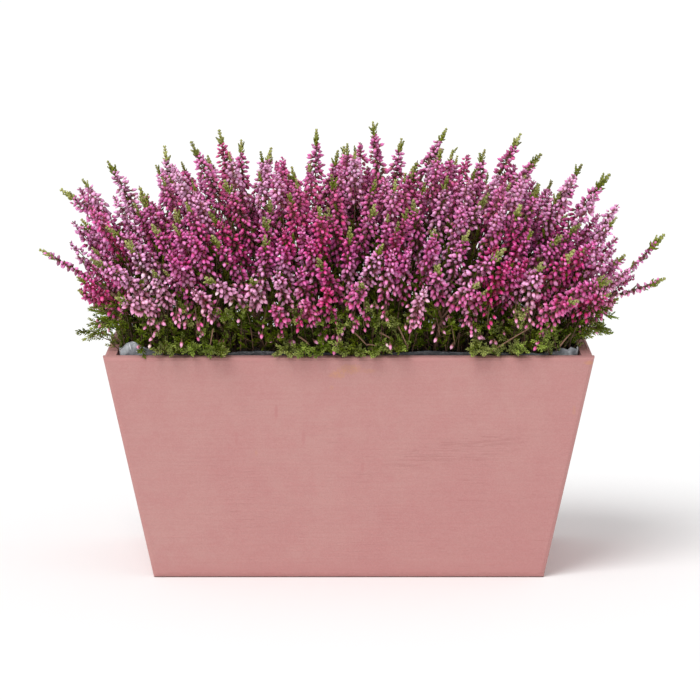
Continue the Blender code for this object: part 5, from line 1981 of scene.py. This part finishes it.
def set_studio(look):
    """Pale floor, even light from all round, one soft light from the upper left and the camera."""
    make_floor(look)
    set_sky(look)
    key = bpy.data.lights.new("key light", "SUN")
    key.energy = look.key
    key.angle = look.key_softness
    aimed(bpy.data.objects.new("key light", key), KEY_PLACE, (0.0, 0.0, 0.0))
    front = -DEPTH / 2
    lens = bpy.data.cameras.new("camera")
    lens.lens = look.lens
    lens.sensor_width = SENSOR_WIDTH
    place = (look.aim_shift, front - look.camera_distance, HEIGHT + look.camera_height)
    target = (look.aim_shift, front, HEIGHT + look.aim_height)
    camera = aimed(bpy.data.objects.new("camera", lens), place, target)
    bpy.context.scene.camera = camera
    bpy.context.scene.view_settings.view_transform = "Standard"


# Operators


class HEATHER_OT_boards(bpy.types.Operator):
    """Paint the trough's five boards"""

    bl_idname = "heather.boards"
    bl_label = "Boards"

    def execute(self, context):
        paint_boards(context.scene.heather_part.trough)
        return {"FINISHED"}


class HEATHER_OT_film(bpy.types.Operator):
    """Fold the grey film into the trough"""

    bl_idname = "heather.film"
    bl_label = "Film"

    def execute(self, context):
        make_film(context.scene.heather_part.film)
        return {"FINISHED"}


class HEATHER_OT_soil(bpy.types.Operator):
    """Fill the trough with crumbly soil"""

    bl_idname = "heather.soil"
    bl_label = "Soil"

    def execute(self, context):
        make_soil(context.scene.heather_part.soil)
        return {"FINISHED"}


class HEATHER_OT_flowers(bpy.types.Operator):
    """Set every spray's spikes with buds"""

    bl_idname = "heather.flowers"
    bl_label = "Flower spikes"

    def execute(self, context):
        look = context.scene.heather_part.heather
        draw = random.Random(STREAM["buds"])
        buds = bud_pattern(look, 6, 3), bud_pattern(look, 5), bud_pattern(look, 4)
        patterns = *buds, twig_pattern(PLAIN_TWIG), twig_pattern(TIP_TWIG)
        materials = plant_materials(look)
        for spray, more in zip(lay_out_sprays(), fill_spikes()):
            make_flowers(spray, more, patterns, materials, look, draw)
        return {"FINISHED"}


class HEATHER_OT_shoots(bpy.types.Operator):
    """Grow every spray's woody stem and leafy side shoots"""

    bl_idname = "heather.shoots"
    bl_label = "Stems and shoots"

    def execute(self, context):
        look = context.scene.heather_part.heather
        draw = random.Random(STREAM["shoots"])
        twig = twig_pattern(PLAIN_TWIG)
        materials = plant_materials(look)
        for spray in lay_out_sprays():
            make_shoots(spray, twig, materials, look, draw)
        return {"FINISHED"}


class HEATHER_OT_rim_shoots(bpy.types.Operator):
    """Grow the low green shoots round the trough's edge"""

    bl_idname = "heather.rim_shoots"
    bl_label = "Rim shoots"

    def execute(self, context):
        look = context.scene.heather_part.heather
        patterns = twig_pattern(FULL_TWIG), bud_pattern(look, 6, 3)
        make_rim_shoots(patterns, plant_materials(look), look)
        return {"FINISHED"}


class HEATHER_OT_ground_shoots(bpy.types.Operator):
    """Grow the leafy shoots that stand among the stems"""

    bl_idname = "heather.ground_shoots"
    bl_label = "Ground shoots"

    def execute(self, context):
        look = context.scene.heather_part.heather
        make_ground_shoots(twig_pattern(PLAIN_TWIG), plant_materials(look), look)
        return {"FINISHED"}


class HEATHER_OT_studio(bpy.types.Operator):
    """Lay the pale floor, and set the lights and the camera"""

    bl_idname = "heather.studio"
    bl_label = "Studio"

    def execute(self, context):
        set_studio(context.scene.heather_part.studio)
        return {"FINISHED"}


PIECE_OPERATORS = (
    HEATHER_OT_boards, HEATHER_OT_film, HEATHER_OT_soil, HEATHER_OT_flowers, HEATHER_OT_shoots,
    HEATHER_OT_rim_shoots, HEATHER_OT_ground_shoots,
)


class HEATHER_PT_sidebar(bpy.types.Panel):
    """The part's operators"""

    bl_idname = "HEATHER_PT_sidebar"
    bl_label = "Potted Heather"
    bl_space_type = "VIEW_3D"
    bl_region_type = "UI"
    bl_category = "Heather"

    def draw(self, context):
        column = self.layout.column()
        for operator in (*PIECE_OPERATORS, HEATHER_OT_studio):
            column.operator(operator.bl_idname)


CLASSES = (
    TroughSettings, FilmSettings, SoilSettings, HeatherSettings, StudioSettings, HeatherPartSettings,
    *PIECE_OPERATORS, HEATHER_OT_studio, HEATHER_PT_sidebar,
)


def register():
    for cls in CLASSES:
        bpy.utils.register_class(cls)
    bpy.types.Scene.heather_part = PointerProperty(type=HeatherPartSettings)


def unregister():
    del bpy.types.Scene.heather_part
    for cls in reversed(CLASSES):
        bpy.utils.unregister_class(cls)


def main():
    register()
    bpy.ops.heather.boards()
    bpy.ops.heather.film()
    bpy.ops.heather.soil()
    bpy.ops.heather.flowers()
    bpy.ops.heather.shoots()
    bpy.ops.heather.rim_shoots()
    bpy.ops.heather.ground_shoots()
    bpy.ops.heather.studio()


if __name__ == "__main__":
    main()
